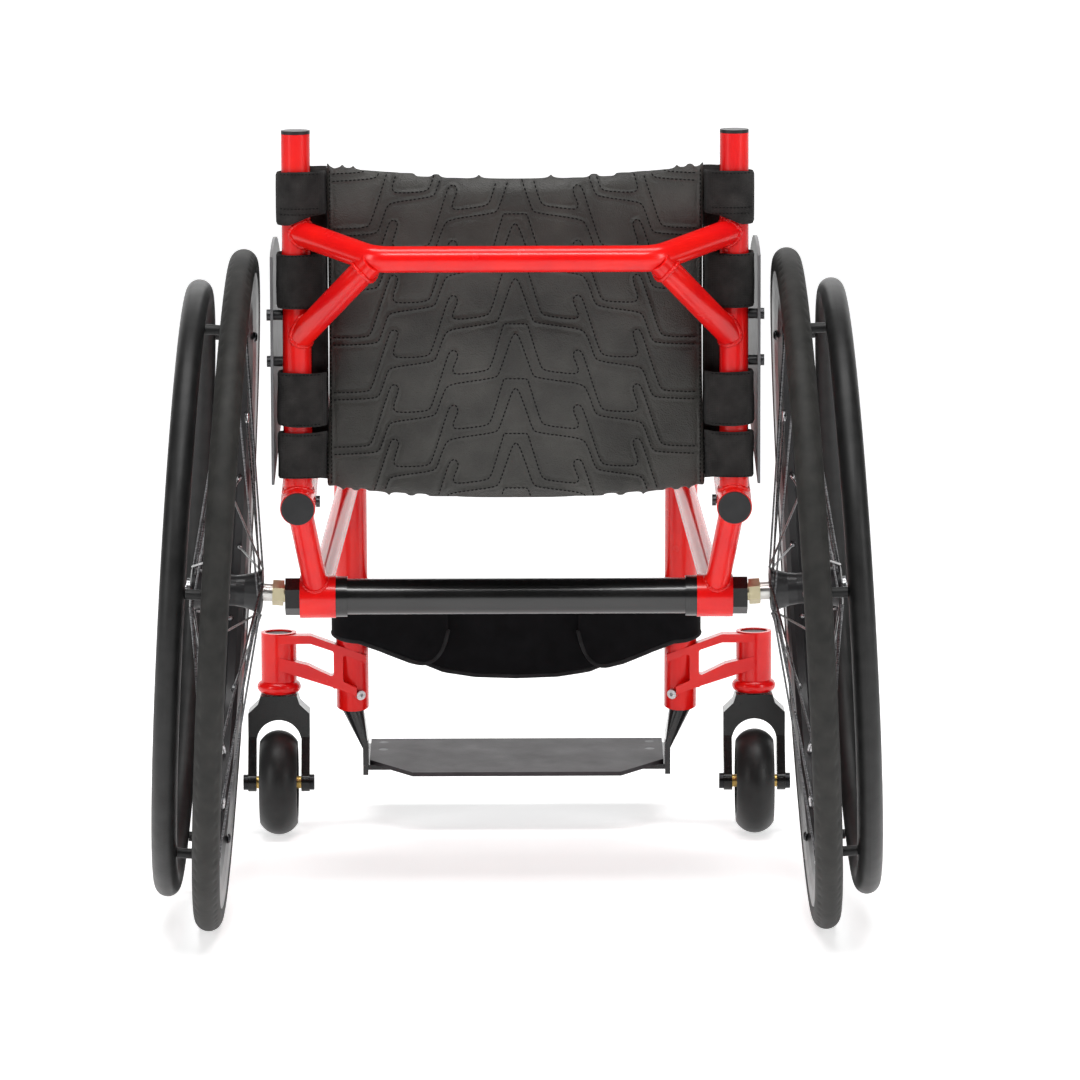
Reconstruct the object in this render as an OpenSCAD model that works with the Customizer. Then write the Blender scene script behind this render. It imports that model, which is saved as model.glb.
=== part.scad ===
// Rigid-frame manual wheelchair with cambered quick-release rear wheels and two swivelling casters.
// Millimetres. +Y is the way the chair drives, +X is to the right seen from behind, and +Z is up.
// The origin is on the floor, under the middle of the chair's overall length and width.
// Lengths called a reach are measured forward from the rear axle.

/* [Frame] */
// Distance between the back canes, centre to centre
seat_track = 384; // [360:1:430]
// Distance that each front tube stands in from its seat rail
knee_inset = 34.5; // [30:0.5:42]
// Height of the top of the back canes above the floor
back_height = 720.5; // [700:0.5:780]
// How far the back canes stand behind the rear axle
cane_setback = 60; // [45:1:80]
// How far the seat rails run on behind the canes
rail_overhang = 22; // [18:1:30]
// Height of the seat rails' centre line at their rear end
rail_height = 389; // [375:1:400]
// Angle at which the seat rails rise to the front
seat_rise = 9; // [6:0.5:12]
// Reach at which the seat rails start to draw in
taper_start = 60; // [40:1:80]
// Reach at which the seat rails run straight again
taper_end = 150; // [130:1:180]
// Reach of the lower end of the front tubes
foot_reach = 460; // [440:1:500]
// Height of the lower end of the front tubes
foot_height = 117.5; // [112:0.5:125]
// Lean of the front tubes from upright
front_lean = 12; // [8:0.5:16]
// Bend radius of the corner above the knees
knee_bend_r = 70; // [55:1:85]
// Bend radius where the rails draw in
taper_bend_r = 60; // [45:1:80]
// Height at which the lower struts meet the front tubes
strut_meet_z = 345; // [320:1:360]

/* [Tubes] */
// Outer diameter of the seat rails and front tubes
frame_tube_d = 31; // [28:0.1:33]
// Wall of the seat rails and front tubes
frame_wall = 2; // [1.5:0.1:2.5]
// Outer diameter of the back canes
cane_d = 25.4; // [24:0.1:27]
// Wall of the canes, struts and brace
tube_wall = 1.8; // [1.2:0.1:2.2]
// Outer diameter of the rear struts
rear_strut_d = 22; // [19:0.1:25]
// Outer diameter of the lower struts
lower_strut_d = 20; // [18:0.1:24]
// Outer diameter of the back brace and its stays
brace_d = 23; // [20:0.1:25.4]

/* [Back brace] */
// Height of the brace's cross bar
brace_height = 616; // [600:1:625]
// How far the cross bar stands behind the canes
brace_setback = 85; // [75:1:110]
// Distance from a seat rail to the brace bar's corner on that side
brace_inset = 70; // [57:1:87]
// Height at which the brace's arms meet the canes
brace_arm_z = 631.5; // [625:0.5:634]
// Height at which the stays meet the canes
brace_stay_z = 536; // [533:1:540]
// Bend radius of the brace
brace_bend_r = 28; // [24:1:45]

/* [Rear axle] */
// Outer diameter of the camber tube
camber_tube_d = 32; // [30:0.1:34]
// Wall of the camber tube
camber_tube_wall = 2; // [1.5:0.1:2.5]
// Distance from a seat rail to the inner end of its axle sleeve
sleeve_inset = 31; // [28:0.5:37]
// Length of each axle sleeve
sleeve_len = 32; // [28:0.5:34]
// Wall of the axle sleeves
sleeve_wall = 3; // [2:0.1:4]
// Length of the collars that lock the camber tube sideways
collar_len = 10; // [8:0.5:14]
// Wall of the collars
collar_wall = 2; // [1.5:0.1:3]
// Corner to corner size of the camber plugs' hexagon heads
plug_head_d = 33.5; // [31:0.1:36]
// Length of the camber plugs' heads
plug_head_len = 13; // [10:0.5:14]
// Length of the camber plugs inside the tube
plug_shank_len = 34; // [28:0.5:40]
// Outer diameter of the axle receivers
receiver_d = 16; // [15:0.1:17]
// Corner to corner size of the receivers' hexagons
receiver_hex_d = 23; // [21:0.1:25]
// Length of the receivers' hexagons
receiver_hex_len = 10; // [8:0.5:11]
// Length of the receivers inside the camber plugs
receiver_inner_len = 42; // [36:0.5:46]
// Diameter of the quick-release axles
axle_d = 12.7; // [12:0.1:13]
// Travel of the release buttons
button_travel = 4; // [3:0.1:5]
// Diameter of the release buttons' rods
button_rod_d = 6; // [5:0.1:7]
// Diameter of the release buttons' caps
button_cap_d = 9; // [8:0.1:11]

/* [Rear wheels] */
// Outer diameter of the tyres
wheel_d = 609; // [590:1:620]
// Width of the tyres
tyre_w = 24.4; // [23:0.1:26]
// Camber of the rear wheels
camber = 3.3; // [0:0.1:5]
// Distance from a seat rail to the middle of its wheel's hub
wheel_gap = 66.4; // [64:0.1:78]
// Depth of the rims
rim_depth = 27; // [22:0.5:32]
// Overall width of each hub
hub_w = 65; // [60:0.5:70]
// Diameter of the hub flanges
hub_flange_d = 40; // [38:0.5:48]
// Diameter of the hub at its waist
hub_waist_d = 27.5; // [26:0.5:30]
// Outer diameter of the hub bearings
hub_bearing_d = 28.575; // [28:0.005:29]
// Width of the hub bearings
hub_bearing_w = 7.94; // [7:0.01:9]
// Number of spokes in each wheel, a multiple of four
spoke_count = 24; // [20:4:28]
// Diameter of the spokes
spoke_d = 1.9; // [1.6:0.1:2]
// Distance from the tyre's outer edge to the handrim's outer edge
handrim_inset = 29; // [26.5:0.5:37]
// Diameter of the handrim tube
handrim_tube_d = 22.4; // [19:0.1:24]
// Distance from the middle of the tyre to the middle of the handrim
handrim_offset = 38; // [34:0.5:42]
// Number of tabs that carry each handrim
tab_count = 6; // [5:1:8]
// Diameter of the handrim tabs
tab_d = 9; // [7:0.5:10]

/* [Casters] */
// Diameter of the caster wheels
caster_d = 100; // [90:1:104]
// Width of the caster tyres
caster_w = 36; // [30:0.5:38]
// Radial depth of the caster tyres
caster_tyre_depth = 16; // [12:0.5:18]
// Distance from a seat rail to its caster's stem
caster_gap = 36; // [33:0.5:48]
// Reach of the caster stems
caster_reach = 450; // [440:1:470]
// Trail of the caster wheels behind their stems
caster_trail = 28; // [22:0.5:30]
// Outer diameter of the caster housings
housing_d = 34; // [32:0.5:38]
// Height of the lower face of the caster housings
housing_z = 132.5; // [130:0.5:140]
// Length of the caster housings
housing_len = 59; // [54:0.5:66]
// Diameter of the ring at the foot of the housings
housing_ring_d = 42; // [40:0.5:46]
// Height of that ring
housing_ring_h = 12; // [9:0.5:14]
// Diameter of the caster stems
stem_d = 12; // [10:0.5:13]
// Outer diameter of the stem bearings
stem_bearing_d = 26; // [24:0.5:27]
// Width of the stem bearings
stem_bearing_w = 8; // [7:0.5:10]
// Overall width of the caster forks
fork_w = 59; // [57:0.5:66]
// Thickness of the fork blades
fork_blade = 8; // [6:0.5:9]
// Room between the caster tyre and the fork's crown
fork_crown_room = 8.5; // [6:0.5:12]
// Diameter of the caster axle bolts
caster_axle_d = 8; // [6:0.5:10]
// Width of the caster hubs
caster_hub_w = 28; // [24:0.5:30]
// Outer diameter of the caster wheel bearings
caster_bearing_d = 22; // [19:0.5:24]
// Width of the caster wheel bearings
caster_bearing_w = 7; // [6:0.5:8]
// Depth of the caster arms, front to rear
arm_depth = 15; // [12:0.5:18]

/* [Footrest] */
// Distance that each side of the footplate stands in from its front tube
plate_inset = 15.5; // [13.5:0.5:22]
// Distance that the footplate narrows to its rear edge on each side
plate_narrowing = 42; // [22:1:52]
// Depth of the footplate
plate_depth = 130; // [125:1:160]
// Length of the cut corners, along the depth
plate_corner = 49; // [30:1:52]
// Thickness of the footplate
plate_t = 4; // [3:0.5:6]
// Tilt of the footplate, toes up
plate_tilt = 4.2; // [2:0.1:8]
// Reach of the footplate's rear edge
plate_reach = 430; // [420:1:440]
// Height of the top of the footplate at its rear edge
plate_height = 57.5; // [54:0.5:60]
// Length of the extension tubes inside the front tubes
extension_len = 110; // [90:1:130]
// Wall of the extension tubes
extension_wall = 2; // [1.5:0.1:2.5]
// Thickness of the flattened ends of the extension tubes
blade_t = 5; // [4:0.5:6]
// Width of the flattened ends
blade_w = 34; // [28:1:38]

/* [Side guards] */
// Thickness of the side guards
guard_t = 2.5; // [2:0.1:3]
// Distance from the canes' middle to the guards' inner face
guard_standoff = 20.5; // [20:0.1:24]
// Radius of the guards' upper edge about the axle
guard_r = 315; // [300:1:320]
// Reach of the guards' front edge
guard_reach = 190; // [150:1:230]
// Heights of the guards' bolts
guard_bolt_z = [558, 517];
// Diameter of the guard bolts
guard_bolt_d = 6; // [5:0.5:6]

/* [Upholstery] */
// Gap between the back panel's side and the seat rail
back_gap = 4; // [3.8:0.1:20]
// Height of the back panel's top edge
back_panel_top = 690; // [670:1:694]
// Height of the back panel's bottom edge
back_panel_bottom = 393; // [385:1:405]
// Thickness of the back panel
back_panel_t = 15; // [12:1:18]
// How far the back panel bows out to the rear
back_bow = 35; // [10:1:45]
// Lower and upper edge of each strap round the canes
strap_bands = [[644.5, 686.5], [563.5, 614.7], [459, 509.7]];
// Top edge of the lowest back strap
low_strap_top = 456.4; // [450:0.1:458]
// Gap between the lowest back strap and the seat rail
low_strap_gap = 8; // [7:0.5:20]
// Thickness of the straps round the canes
strap_t = 4.1; // [2:0.1:5]
// Thickness of the seat sling
sling_t = 4; // [3:0.5:6]
// Reach of the front edge of the seat sling
sling_front = 318; // [290:1:325]
// Thickness of the calf strap
calf_t = 4; // [3:0.5:5]

/* [Fits] */
// Radial clearance of a shaft that turns in its bearing
run_fit = 0.05; // [0.02:0.01:0.1]
// Radial clearance of a tube that slides in another
slide_fit = 0.1; // [0.05:0.01:0.1]
// Gap between parts that are welded or pushed together
weld_gap = 0.1; // [0.05:0.01:0.2]
// Gap between the upholstery and what it rests on
soft_gap = 0.4; // [0.3:0.1:1]

/* [Hidden] */
$fn = 72;
eps = 0.5;
// A straight length enters its bend by the lap, and the bend's wall is thicker by the step each way.
lap = 1;
lap_step = 0.08;

RED = [0.86, 0.06, 0.05];
BLACK = [0.07, 0.07, 0.08];
RUBBER = [0.12, 0.12, 0.12];
STEEL = [0.75, 0.75, 0.76];
BRASS = [0.72, 0.62, 0.35];
FABRIC = [0.15, 0.15, 0.16];

// The overall box runs from the back of the tyres to the footplate's front edge.
wheel_r = wheel_d / 2;
front_reach = plate_reach + plate_depth * cos(plate_tilt);
axle_y = (wheel_r - front_reach) / 2;

// Rear wheels and camber tube
tyre_r = tyre_w / 2;
tyre_centre_r = wheel_r - tyre_r;
hub_x = seat_track / 2 + wheel_gap;
hub_z = tyre_centre_r * cos(camber) + tyre_r;
sleeve_in = seat_track / 2 - sleeve_inset;
camber_meet_x = sleeve_in - 11;
camber_tube_z = hub_z - (hub_x - camber_meet_x) * tan(camber);
camber_tube_len = 2 * (sleeve_in + sleeve_len) - 2 * weld_gap;
bed_r = wheel_r - tyre_w;
rim_bed_r = bed_r + 0.2;
rim_in_r = rim_bed_r - rim_depth + 4;
rim_half = tyre_r - 1;
handrim_r = wheel_r - handrim_inset - handrim_tube_d / 2;

// Distances along the wheel's own axis, outward from the middle of the hub
hub_half = hub_w / 2;
flange_s = hub_half - 2.5;
plug_face_s = -(hub_x - sleeve_in - sleeve_len - plug_head_len) / cos(camber);
receiver_nose_s = -hub_half - 0.5;
axle_in_s = plug_face_s - receiver_inner_len - 5;
axle_out_s = hub_half + 3.5;
rod_in_s = axle_out_s - 2.8;

// Frame lines
rail_x = seat_track / 2;
knee_x = rail_x - knee_inset;
brace_half = rail_x - brace_inset;
plate_w = 2 * (knee_x - plate_inset);
plate_rear_w = plate_w - 2 * plate_narrowing;
back_half = rail_x - frame_tube_d / 2 - back_gap;
back_bands = concat(strap_bands, [[rail_height + frame_tube_d / 2 + low_strap_gap, low_strap_top]]);
cane_y = axle_y - cane_setback;
rail_rear_y = cane_y - rail_overhang;
function rail_z(y) = rail_height + (y - rail_rear_y) * tan(seat_rise);
function front_tube_y(z) = axle_y + foot_reach - (z - foot_height) * tan(front_lean);
knee_rise = rail_height - foot_height + (axle_y + foot_reach - rail_rear_y) * tan(seat_rise);
knee_z = foot_height + knee_rise / (1 + tan(front_lean) * tan(seat_rise));
knee_y = front_tube_y(knee_z);
SIDE_LINE = [
    [rail_x, rail_rear_y, rail_height],
    [rail_x, axle_y + taper_start, rail_z(axle_y + taper_start)],
    [knee_x, axle_y + taper_end, rail_z(axle_y + taper_end)],
    [knee_x, knee_y, knee_z],
    [knee_x, axle_y + foot_reach, foot_height]
];
SIDE_BENDS = [0, taper_bend_r, taper_bend_r, knee_bend_r, 0];
BRACE_LINE = [
    [-rail_x, cane_y, brace_arm_z],
    [-brace_half, cane_y - brace_setback, brace_height],
    [brace_half, cane_y - brace_setback, brace_height],
    [rail_x, cane_y, brace_arm_z]
];
BRACE_BENDS = [0, brace_bend_r, brace_bend_r, 0];
sleeve_x = sleeve_in + sleeve_len / 2;
sleeve_d = camber_tube_d + 2 * (weld_gap + sleeve_wall);

// Casters
caster_x = rail_x + caster_gap;
caster_y = axle_y + caster_reach;
caster_r = caster_d / 2;
stem_seat_gap = 1;
fork_in_half = fork_w / 2 - fork_blade;
fork_top_z = housing_z - 0.8;
fork_arch_z = caster_d + fork_crown_room - fork_in_half;

/* ---- building helpers ---- */

function unit(v) = v / norm(v);
function turn(a, b) = acos(max(-1, min(1, unit(a) * unit(b))));
function bend_set(line, bends, i) = (i == 0 || i == len(line) - 1) ? 0
    : bends[i] * tan(turn(line[i] - line[i - 1], line[i + 1] - line[i]) / 2);

// The same line with both of its ends drawn out
function longer(line, by) = let (last = len(line) - 1) [for (i = [0:last])
    i == 0 ? line[0] - by * unit(line[1] - line[0])
    : i == last ? line[last] + by * unit(line[last] - line[last - 1])
    : line[i]];

module rod(from, to, d) {
    along = to - from;
    translate(from)
        rotate([0, acos(along.z / norm(along)), atan2(along.y, along.x)])
            cylinder(d = d, h = norm(along));
}

module elbow(before, corner, after, bend_r, d, bore = 0) {
    a = unit(corner - before);
    b = unit(after - corner);
    angle = turn(a, b);
    start = corner - a * bend_r * tan(angle / 2);
    centre = start + bend_r * unit(b - a * (a * b));
    u = unit(start - centre);
    w = cross(u, a);
    multmatrix([[u.x, a.x, w.x, centre.x], [u.y, a.y, w.y, centre.y], [u.z, a.z, w.z, centre.z]])
        rotate_extrude(angle = angle) translate([bend_r, 0]) difference() {
            circle(d = d);
            if (bore > 0) circle(d = bore);
        }
}

// A round bar of diameter d that follows a line of points, bent to a radius at each inner point
module bent_bar(line, bends, d) {
    last = len(line) - 1;
    for (i = [0:last - 1]) {
        along = unit(line[i + 1] - line[i]);
        rod(line[i] + along * max(0, bend_set(line, bends, i) - lap),
            line[i + 1] - along * max(0, bend_set(line, bends, i + 1) - lap), d);
    }
    for (i = [1:last - 1]) elbow(line[i - 1], line[i], line[i + 1], bends[i], d + 2 * lap_step);
}

module bent_tube(line, bends, d, wall) {
    last = len(line) - 1;
    for (i = [0:last - 1]) {
        along = unit(line[i + 1] - line[i]);
        tube(line[i] + along * max(0, bend_set(line, bends, i) - lap),
             line[i + 1] - along * max(0, bend_set(line, bends, i + 1) - lap), d, wall);
    }
    for (i = [1:last - 1])
        elbow(line[i - 1], line[i], line[i + 1], bends[i], d + 2 * lap_step,
              d - 2 * (wall + lap_step));
}

module tube(from, to, d, wall) {
    difference() {
        rod(from, to, d);
        rod(from - unit(to - from), to + unit(to - from), d - 2 * wall);
    }
}

// Everything is drawn for the right side, and mirrored for the left
module on_side(side) {
    if (side < 0) mirror([1, 0, 0]) children();
    else children();
}

module both_sides() {
    for (side = [-1, 1]) on_side(side) children();
}

// The wheel's own frame: z runs outward along the cambered axle from the middle of the hub
module on_wheel(side) {
    on_side(side) translate([hub_x, axle_y, hub_z]) rotate([0, 90 - camber, 0]) children();
}

module ring(outer_d, inner_d, from, to) {
    translate([0, 0, from]) difference() {
        cylinder(d = outer_d, h = to - from);
        translate([0, 0, -eps]) cylinder(d = inner_d, h = to - from + 2 * eps);
    }
}

module along_x(from, to, d, y, z) {
    translate([from, y, z]) rotate([0, 90, 0]) cylinder(d = d, h = to - from);
}

// The front tubes' frame: z runs up the tube from its lower end
module on_front_tube() {
    translate([knee_x, axle_y + foot_reach, foot_height]) rotate([front_lean, 0, 0]) children();
}

/* ---- frame ---- */

module side_frame(side) {
    color(RED) on_side(side) difference() {
        bent_tube(SIDE_LINE, SIDE_BENDS, frame_tube_d, frame_wall);
        on_front_tube() clamp_bolt_place() cylinder(d = clamp_bolt_d + 2 * weld_gap, h = frame_tube_d);
        along_x(rail_x - frame_tube_d, rail_x, cane_bolt_d + 2 * weld_gap, cane_y, rail_z(cane_y));
    }
}

module rail_cut() {
    rod(longer(SIDE_LINE, eps)[0], SIDE_LINE[1], frame_tube_d + 2 * weld_gap);
}

module back_cane(side) {
    base = [rail_x, cane_y, rail_z(cane_y)];
    top = [rail_x, cane_y, back_height - cane_cap_t - weld_gap];
    color(RED) on_side(side) difference() {
        tube(base, top, cane_d, tube_wall);
        rail_cut();
        for (z = guard_bolt_z)
            along_x(rail_x + cane_d / 2 - 2 * tube_wall, rail_x + cane_d, guard_bolt_d + 2 * weld_gap,
                    cane_y, z);
    }
}

module cane_cut(z_from, z_to) {
    rod([rail_x, cane_y, z_from], [rail_x, cane_y, z_to], cane_d + 2 * weld_gap);
}

module back_brace() {
    color(RED) difference() {
        bent_tube(BRACE_LINE, BRACE_BENDS, brace_d, tube_wall);
        both_sides() cane_cut(brace_arm_z - 60, brace_arm_z + 60);
    }
}

module brace_stays() {
    color(RED) both_sides() difference() {
        tube([rail_x, cane_y, brace_stay_z], BRACE_LINE[2], brace_d, tube_wall);
        cane_cut(brace_stay_z - 60, brace_stay_z + 60);
        bent_bar(BRACE_LINE, BRACE_BENDS, brace_d + 2 * weld_gap);
    }
}

module sleeve_cut() {
    along_x(sleeve_in - 10, sleeve_in + sleeve_len + 10, sleeve_d + 2 * weld_gap, axle_y,
            camber_tube_z);
}

module rear_strut(side) {
    top_y = cane_y - 3;
    color(RED) on_side(side) difference() {
        tube([sleeve_x, axle_y, camber_tube_z], [rail_x, top_y, rail_z(top_y)], rear_strut_d,
             tube_wall);
        sleeve_cut();
        rail_cut();
    }
}

module lower_struts() {
    color(RED) both_sides() difference() {
        tube([sleeve_x, axle_y, camber_tube_z], [knee_x, front_tube_y(strut_meet_z), strut_meet_z],
             lower_strut_d, tube_wall);
        sleeve_cut();
        rod(SIDE_LINE[3], SIDE_LINE[4], frame_tube_d + 2 * weld_gap);
    }
}

module axle_sleeves() {
    color(RED) both_sides() difference() {
        along_x(sleeve_in, sleeve_in + sleeve_len, sleeve_d, axle_y, camber_tube_z);
        along_x(sleeve_in - eps, sleeve_in + sleeve_len + eps, camber_tube_d + 2 * weld_gap,
                axle_y, camber_tube_z);
    }
}

module camber_tube() {
    half = camber_tube_len / 2;
    color(BLACK) difference() {
        along_x(-half, half, camber_tube_d, axle_y, camber_tube_z);
        along_x(-half - eps, half + eps, camber_tube_d - 2 * camber_tube_wall, axle_y,
                camber_tube_z);
    }
}

module camber_collars() {
    outer = sleeve_in - 2 * weld_gap;
    color(BLACK) both_sides() difference() {
        along_x(outer - collar_len, outer, camber_tube_d + 2 * (collar_wall + weld_gap), axle_y,
                camber_tube_z);
        along_x(outer - collar_len - eps, outer + eps, camber_tube_d + 2 * weld_gap, axle_y,
                camber_tube_z);
    }
}

module camber_plugs() {
    face = sleeve_in + sleeve_len + weld_gap;
    color(BLACK) for (side = [-1, 1]) difference() {
        on_side(side) union() {
            translate([face, axle_y, camber_tube_z]) rotate([0, 90, 0])
                cylinder(d = plug_head_d, h = plug_head_len, $fn = 6);
            along_x(face - plug_shank_len, face + eps,
                    camber_tube_d - 2 * (camber_tube_wall + run_fit), axle_y, camber_tube_z);
        }
        on_wheel(side) translate([0, 0, axle_in_s - 20])
            cylinder(d = receiver_d + 2 * run_fit, h = -axle_in_s);
    }
}

module axle_receivers() {
    hex_from = plug_face_s + 1.5;
    color(BRASS) for (side = [-1, 1]) on_wheel(side) difference() {
        union() {
            translate([0, 0, plug_face_s - receiver_inner_len])
                cylinder(d = receiver_d, h = receiver_nose_s - plug_face_s + receiver_inner_len);
            translate([0, 0, hex_from]) cylinder(d = receiver_hex_d, h = receiver_hex_len, $fn = 6);
        }
        translate([0, 0, plug_face_s - receiver_inner_len - eps])
            cylinder(d = axle_d + 2 * run_fit, h = receiver_inner_len - plug_face_s);
    }
}

/* ---- caster arms and housings ---- */

arm_upper = [[caster_x, 190.5], [caster_x - 31, 190.5], [knee_x - 13.5, 171], [knee_x - 13.5, 164],
             [knee_x + 8.5, 172], [caster_x - 31, 182.5], [caster_x, 182.5]];
arm_lower = [[caster_x, 169], [caster_x - 28, 162], [knee_x + 8.5, 145.5], [knee_x - 4.5, 139.5],
             [knee_x - 4.5, 131.5], [knee_x + 8.5, 137], [caster_x, 157]];

// Flat plate with a window, welded to the rear of the front tube and to the side of the housing
module caster_arm(side) {
    web_in = knee_x + frame_tube_d / 2 - 7;
    color(RED) on_side(side) difference() {
        translate([0, caster_y - 3.5, 0]) rotate([90, 0, 0]) linear_extrude(arm_depth)
            offset(r = -2.5, $fn = 24) offset(delta = 2.5) {
                polygon(arm_upper);
                polygon(arm_lower);
                translate([web_in, 139]) square([9, 36]);
            }
        rod(SIDE_LINE[3], longer(SIDE_LINE, 20)[4], frame_tube_d + 2 * weld_gap);
        translate([caster_x, caster_y, housing_z - 10])
            cylinder(d = housing_d + 2 * weld_gap, h = housing_len + 20);
        on_front_tube() clamp_bolt_place() cylinder(d = clamp_head_d + 1, h = 3 * frame_tube_d);
    }
}

module on_stem(side) {
    on_side(side) translate([caster_x, caster_y, 0]) children();
}

module caster_housings() {
    step_d = stem_bearing_d - 4;
    top = housing_z + housing_len;
    color(RED) both_sides() translate([caster_x, caster_y, 0]) difference() {
        union() {
            translate([0, 0, housing_z]) cylinder(d = housing_d, h = housing_len);
            translate([0, 0, housing_z + housing_ring_h / 2]) rotate_extrude()
                translate([housing_ring_d / 2 - housing_ring_h / 2, 0])
                    circle(d = housing_ring_h);
        }
        translate([0, 0, housing_z - eps]) cylinder(d = step_d, h = housing_len + 2 * eps);
        translate([0, 0, housing_z - eps])
            cylinder(d = stem_bearing_d + 2 * run_fit, h = stem_bearing_w + 2 * stem_seat_gap + eps);
        translate([0, 0, top - stem_bearing_w - 16])
            cylinder(d = stem_bearing_d + 2 * run_fit, h = stem_bearing_w + 16 + eps);
    }
}

module stem_bearings() {
    top = housing_z + housing_len;
    color(STEEL) both_sides() translate([caster_x, caster_y, 0]) {
        ring(stem_bearing_d, stem_d + 2 * run_fit, housing_z + stem_seat_gap,
             housing_z + stem_seat_gap + stem_bearing_w);
        ring(stem_bearing_d, stem_d + 2 * run_fit, top - 15.5 - stem_bearing_w, top - 15.5);
    }
}

module housing_caps() {
    color(BLACK) both_sides() translate([caster_x, caster_y, housing_z + housing_len - 4])
        cylinder(d = stem_bearing_d - 2 * weld_gap, h = 2.5);
}

/* ---- caps, bolts and side guards ---- */

cane_cap_t = 3;
cane_bolt_d = 6;
clamp_bolt_d = 5;
clamp_head_d = 9.5;
clamp_head_len = 4;
clamp_height = 17.5;
clamp_turn = 26;

module tube_caps() {
    plug_len = 12;
    inner_cane = cane_d - 2 * tube_wall;
    inner_rail = frame_tube_d - 2 * frame_wall;
    color(BLACK) both_sides() {
        translate([rail_x, cane_y, back_height - cane_cap_t]) cylinder(d = cane_d, h = cane_cap_t);
        translate([rail_x, cane_y, back_height - cane_cap_t - plug_len])
            cylinder(d = inner_cane - 2 * weld_gap, h = plug_len + eps);
        translate([rail_x, rail_rear_y, rail_height]) rotate([90 + seat_rise, 0, 0]) {
            translate([0, 0, weld_gap]) cylinder(d = frame_tube_d - 2, h = 1.6);
            translate([0, 0, -plug_len]) cylinder(d = inner_rail - 2 * weld_gap, h = plug_len + eps);
        }
    }
}

// Button-head bolts on the inner side of each rail, at the foot of the cane
module cane_bolts() {
    face = rail_x - frame_tube_d / 2 - weld_gap;
    color(BLACK) both_sides() {
        along_x(face - 3.5, face, 10, cane_y, rail_z(cane_y));
        along_x(face - eps, face + 5, cane_bolt_d, cane_y, rail_z(cane_y));
    }
}

module clamp_bolt_place() {
    rotate([0, 0, -clamp_turn]) translate([0, 0, clamp_height]) rotate([90, 0, 0]) children();
}

// Socket-head bolts that clamp the extension tubes in the front tubes
module extension_clamp_bolts() {
    tip = frame_tube_d / 2 - frame_wall + 0.2;
    head = frame_tube_d / 2 + weld_gap;
    color(STEEL) both_sides() on_front_tube() clamp_bolt_place() difference() {
        union() {
            translate([0, 0, tip]) cylinder(d = clamp_bolt_d, h = head - tip + eps);
            translate([0, 0, head]) cylinder(d = clamp_head_d, h = clamp_head_len);
        }
        translate([0, 0, head + 1.5]) cylinder(d = 4.6, h = clamp_head_len, $fn = 6);
    }
}

// A flat plate whose upper edge follows the wheel
module side_guard(side) {
    face = rail_x + guard_standoff;
    low = frame_tube_d / 2 + 3;
    rear = cane_y - cane_d / 2;
    front = axle_y + guard_reach;
    color(BLACK) on_side(side) difference() {
        translate([face, 0, 0]) rotate([90, 0, 90]) linear_extrude(guard_t) intersection() {
            translate([axle_y, hub_z]) circle(r = guard_r, $fn = 180);
            polygon([[rear, rail_z(rear) + low], [front - 25, rail_z(front - 25) + low],
                     [front, rail_z(front) + low + 25], [front, 700], [rear, 700]]);
        }
        for (z = guard_bolt_z) along_x(face - 1, face + guard_t + 1, guard_bolt_d + 0.4, cane_y, z);
    }
}

module guard_bolts() {
    head = rail_x + guard_standoff + guard_t + weld_gap;
    color(STEEL) both_sides() for (z = guard_bolt_z) {
        along_x(rail_x + cane_d / 2 - 5, head + eps, guard_bolt_d, cane_y, z);
        along_x(head, head + 3.5, 10, cane_y, z);
    }
}

module guard_spacers() {
    from = rail_x + cane_d / 2 + weld_gap;
    to = rail_x + guard_standoff - weld_gap;
    color(BLACK) both_sides() for (z = guard_bolt_z) difference() {
        along_x(from, to, 9, cane_y, z);
        along_x(from - 1, to + 1, guard_bolt_d + 2 * weld_gap, cane_y, z);
    }
}

/* ---- upholstery ---- */

// Padded back, bowed out to the rear between the canes
module back_panel() {
    bow_r = (back_half * back_half + back_bow * back_bow) / (2 * back_bow);
    rear_edge_y = cane_y - 2;
    centre_y = rear_edge_y + bow_r - back_bow;
    height = back_panel_top - back_panel_bottom;
    color(FABRIC) translate([0, 0, back_panel_bottom]) intersection() {
        translate([0, centre_y, 0]) difference() {
            cylinder(r = bow_r, h = height, $fn = 180);
            translate([0, 0, -eps]) cylinder(r = bow_r - back_panel_t, h = height + 2 * eps, $fn = 180);
        }
        translate([-back_half, rear_edge_y - back_bow - 1, 0])
            cube([2 * back_half, back_bow + back_panel_t + 6, height]);
    }
}

// Each strap is a loop round the cane and a short tail to the edge of the back panel
module back_straps() {
    inner = cane_d + 2 * soft_gap;
    tail = rail_x - back_half - soft_gap;
    color(FABRIC) both_sides() for (band = back_bands)
        translate([rail_x, cane_y, band[0]]) linear_extrude(band[1] - band[0]) difference() {
            union() {
                circle(d = inner + 2 * strap_t);
                translate([-tail, -strap_t]) square([tail, 2 * strap_t]);
            }
            circle(d = inner);
        }
}

module seat_sling() {
    half_rear = rail_x + 10;
    half_front = knee_x + 10;
    start = cane_y + cane_d / 2 + strap_t + 6;
    color(FABRIC) translate([0, rail_rear_y, rail_height]) rotate([seat_rise, 0, 0])
        translate([0, 0, frame_tube_d / 2 + soft_gap]) linear_extrude(sling_t)
            polygon([for (p = [[half_rear, start], [half_rear, axle_y + taper_start],
                               [half_front, axle_y + taper_end], [half_front, axle_y + sling_front],
                               [-half_front, axle_y + sling_front], [-half_front, axle_y + taper_end],
                               [-half_rear, axle_y + taper_start], [-half_rear, start]])
                     [p.x, (p.y - rail_rear_y) / cos(seat_rise)]]);
}

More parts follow.
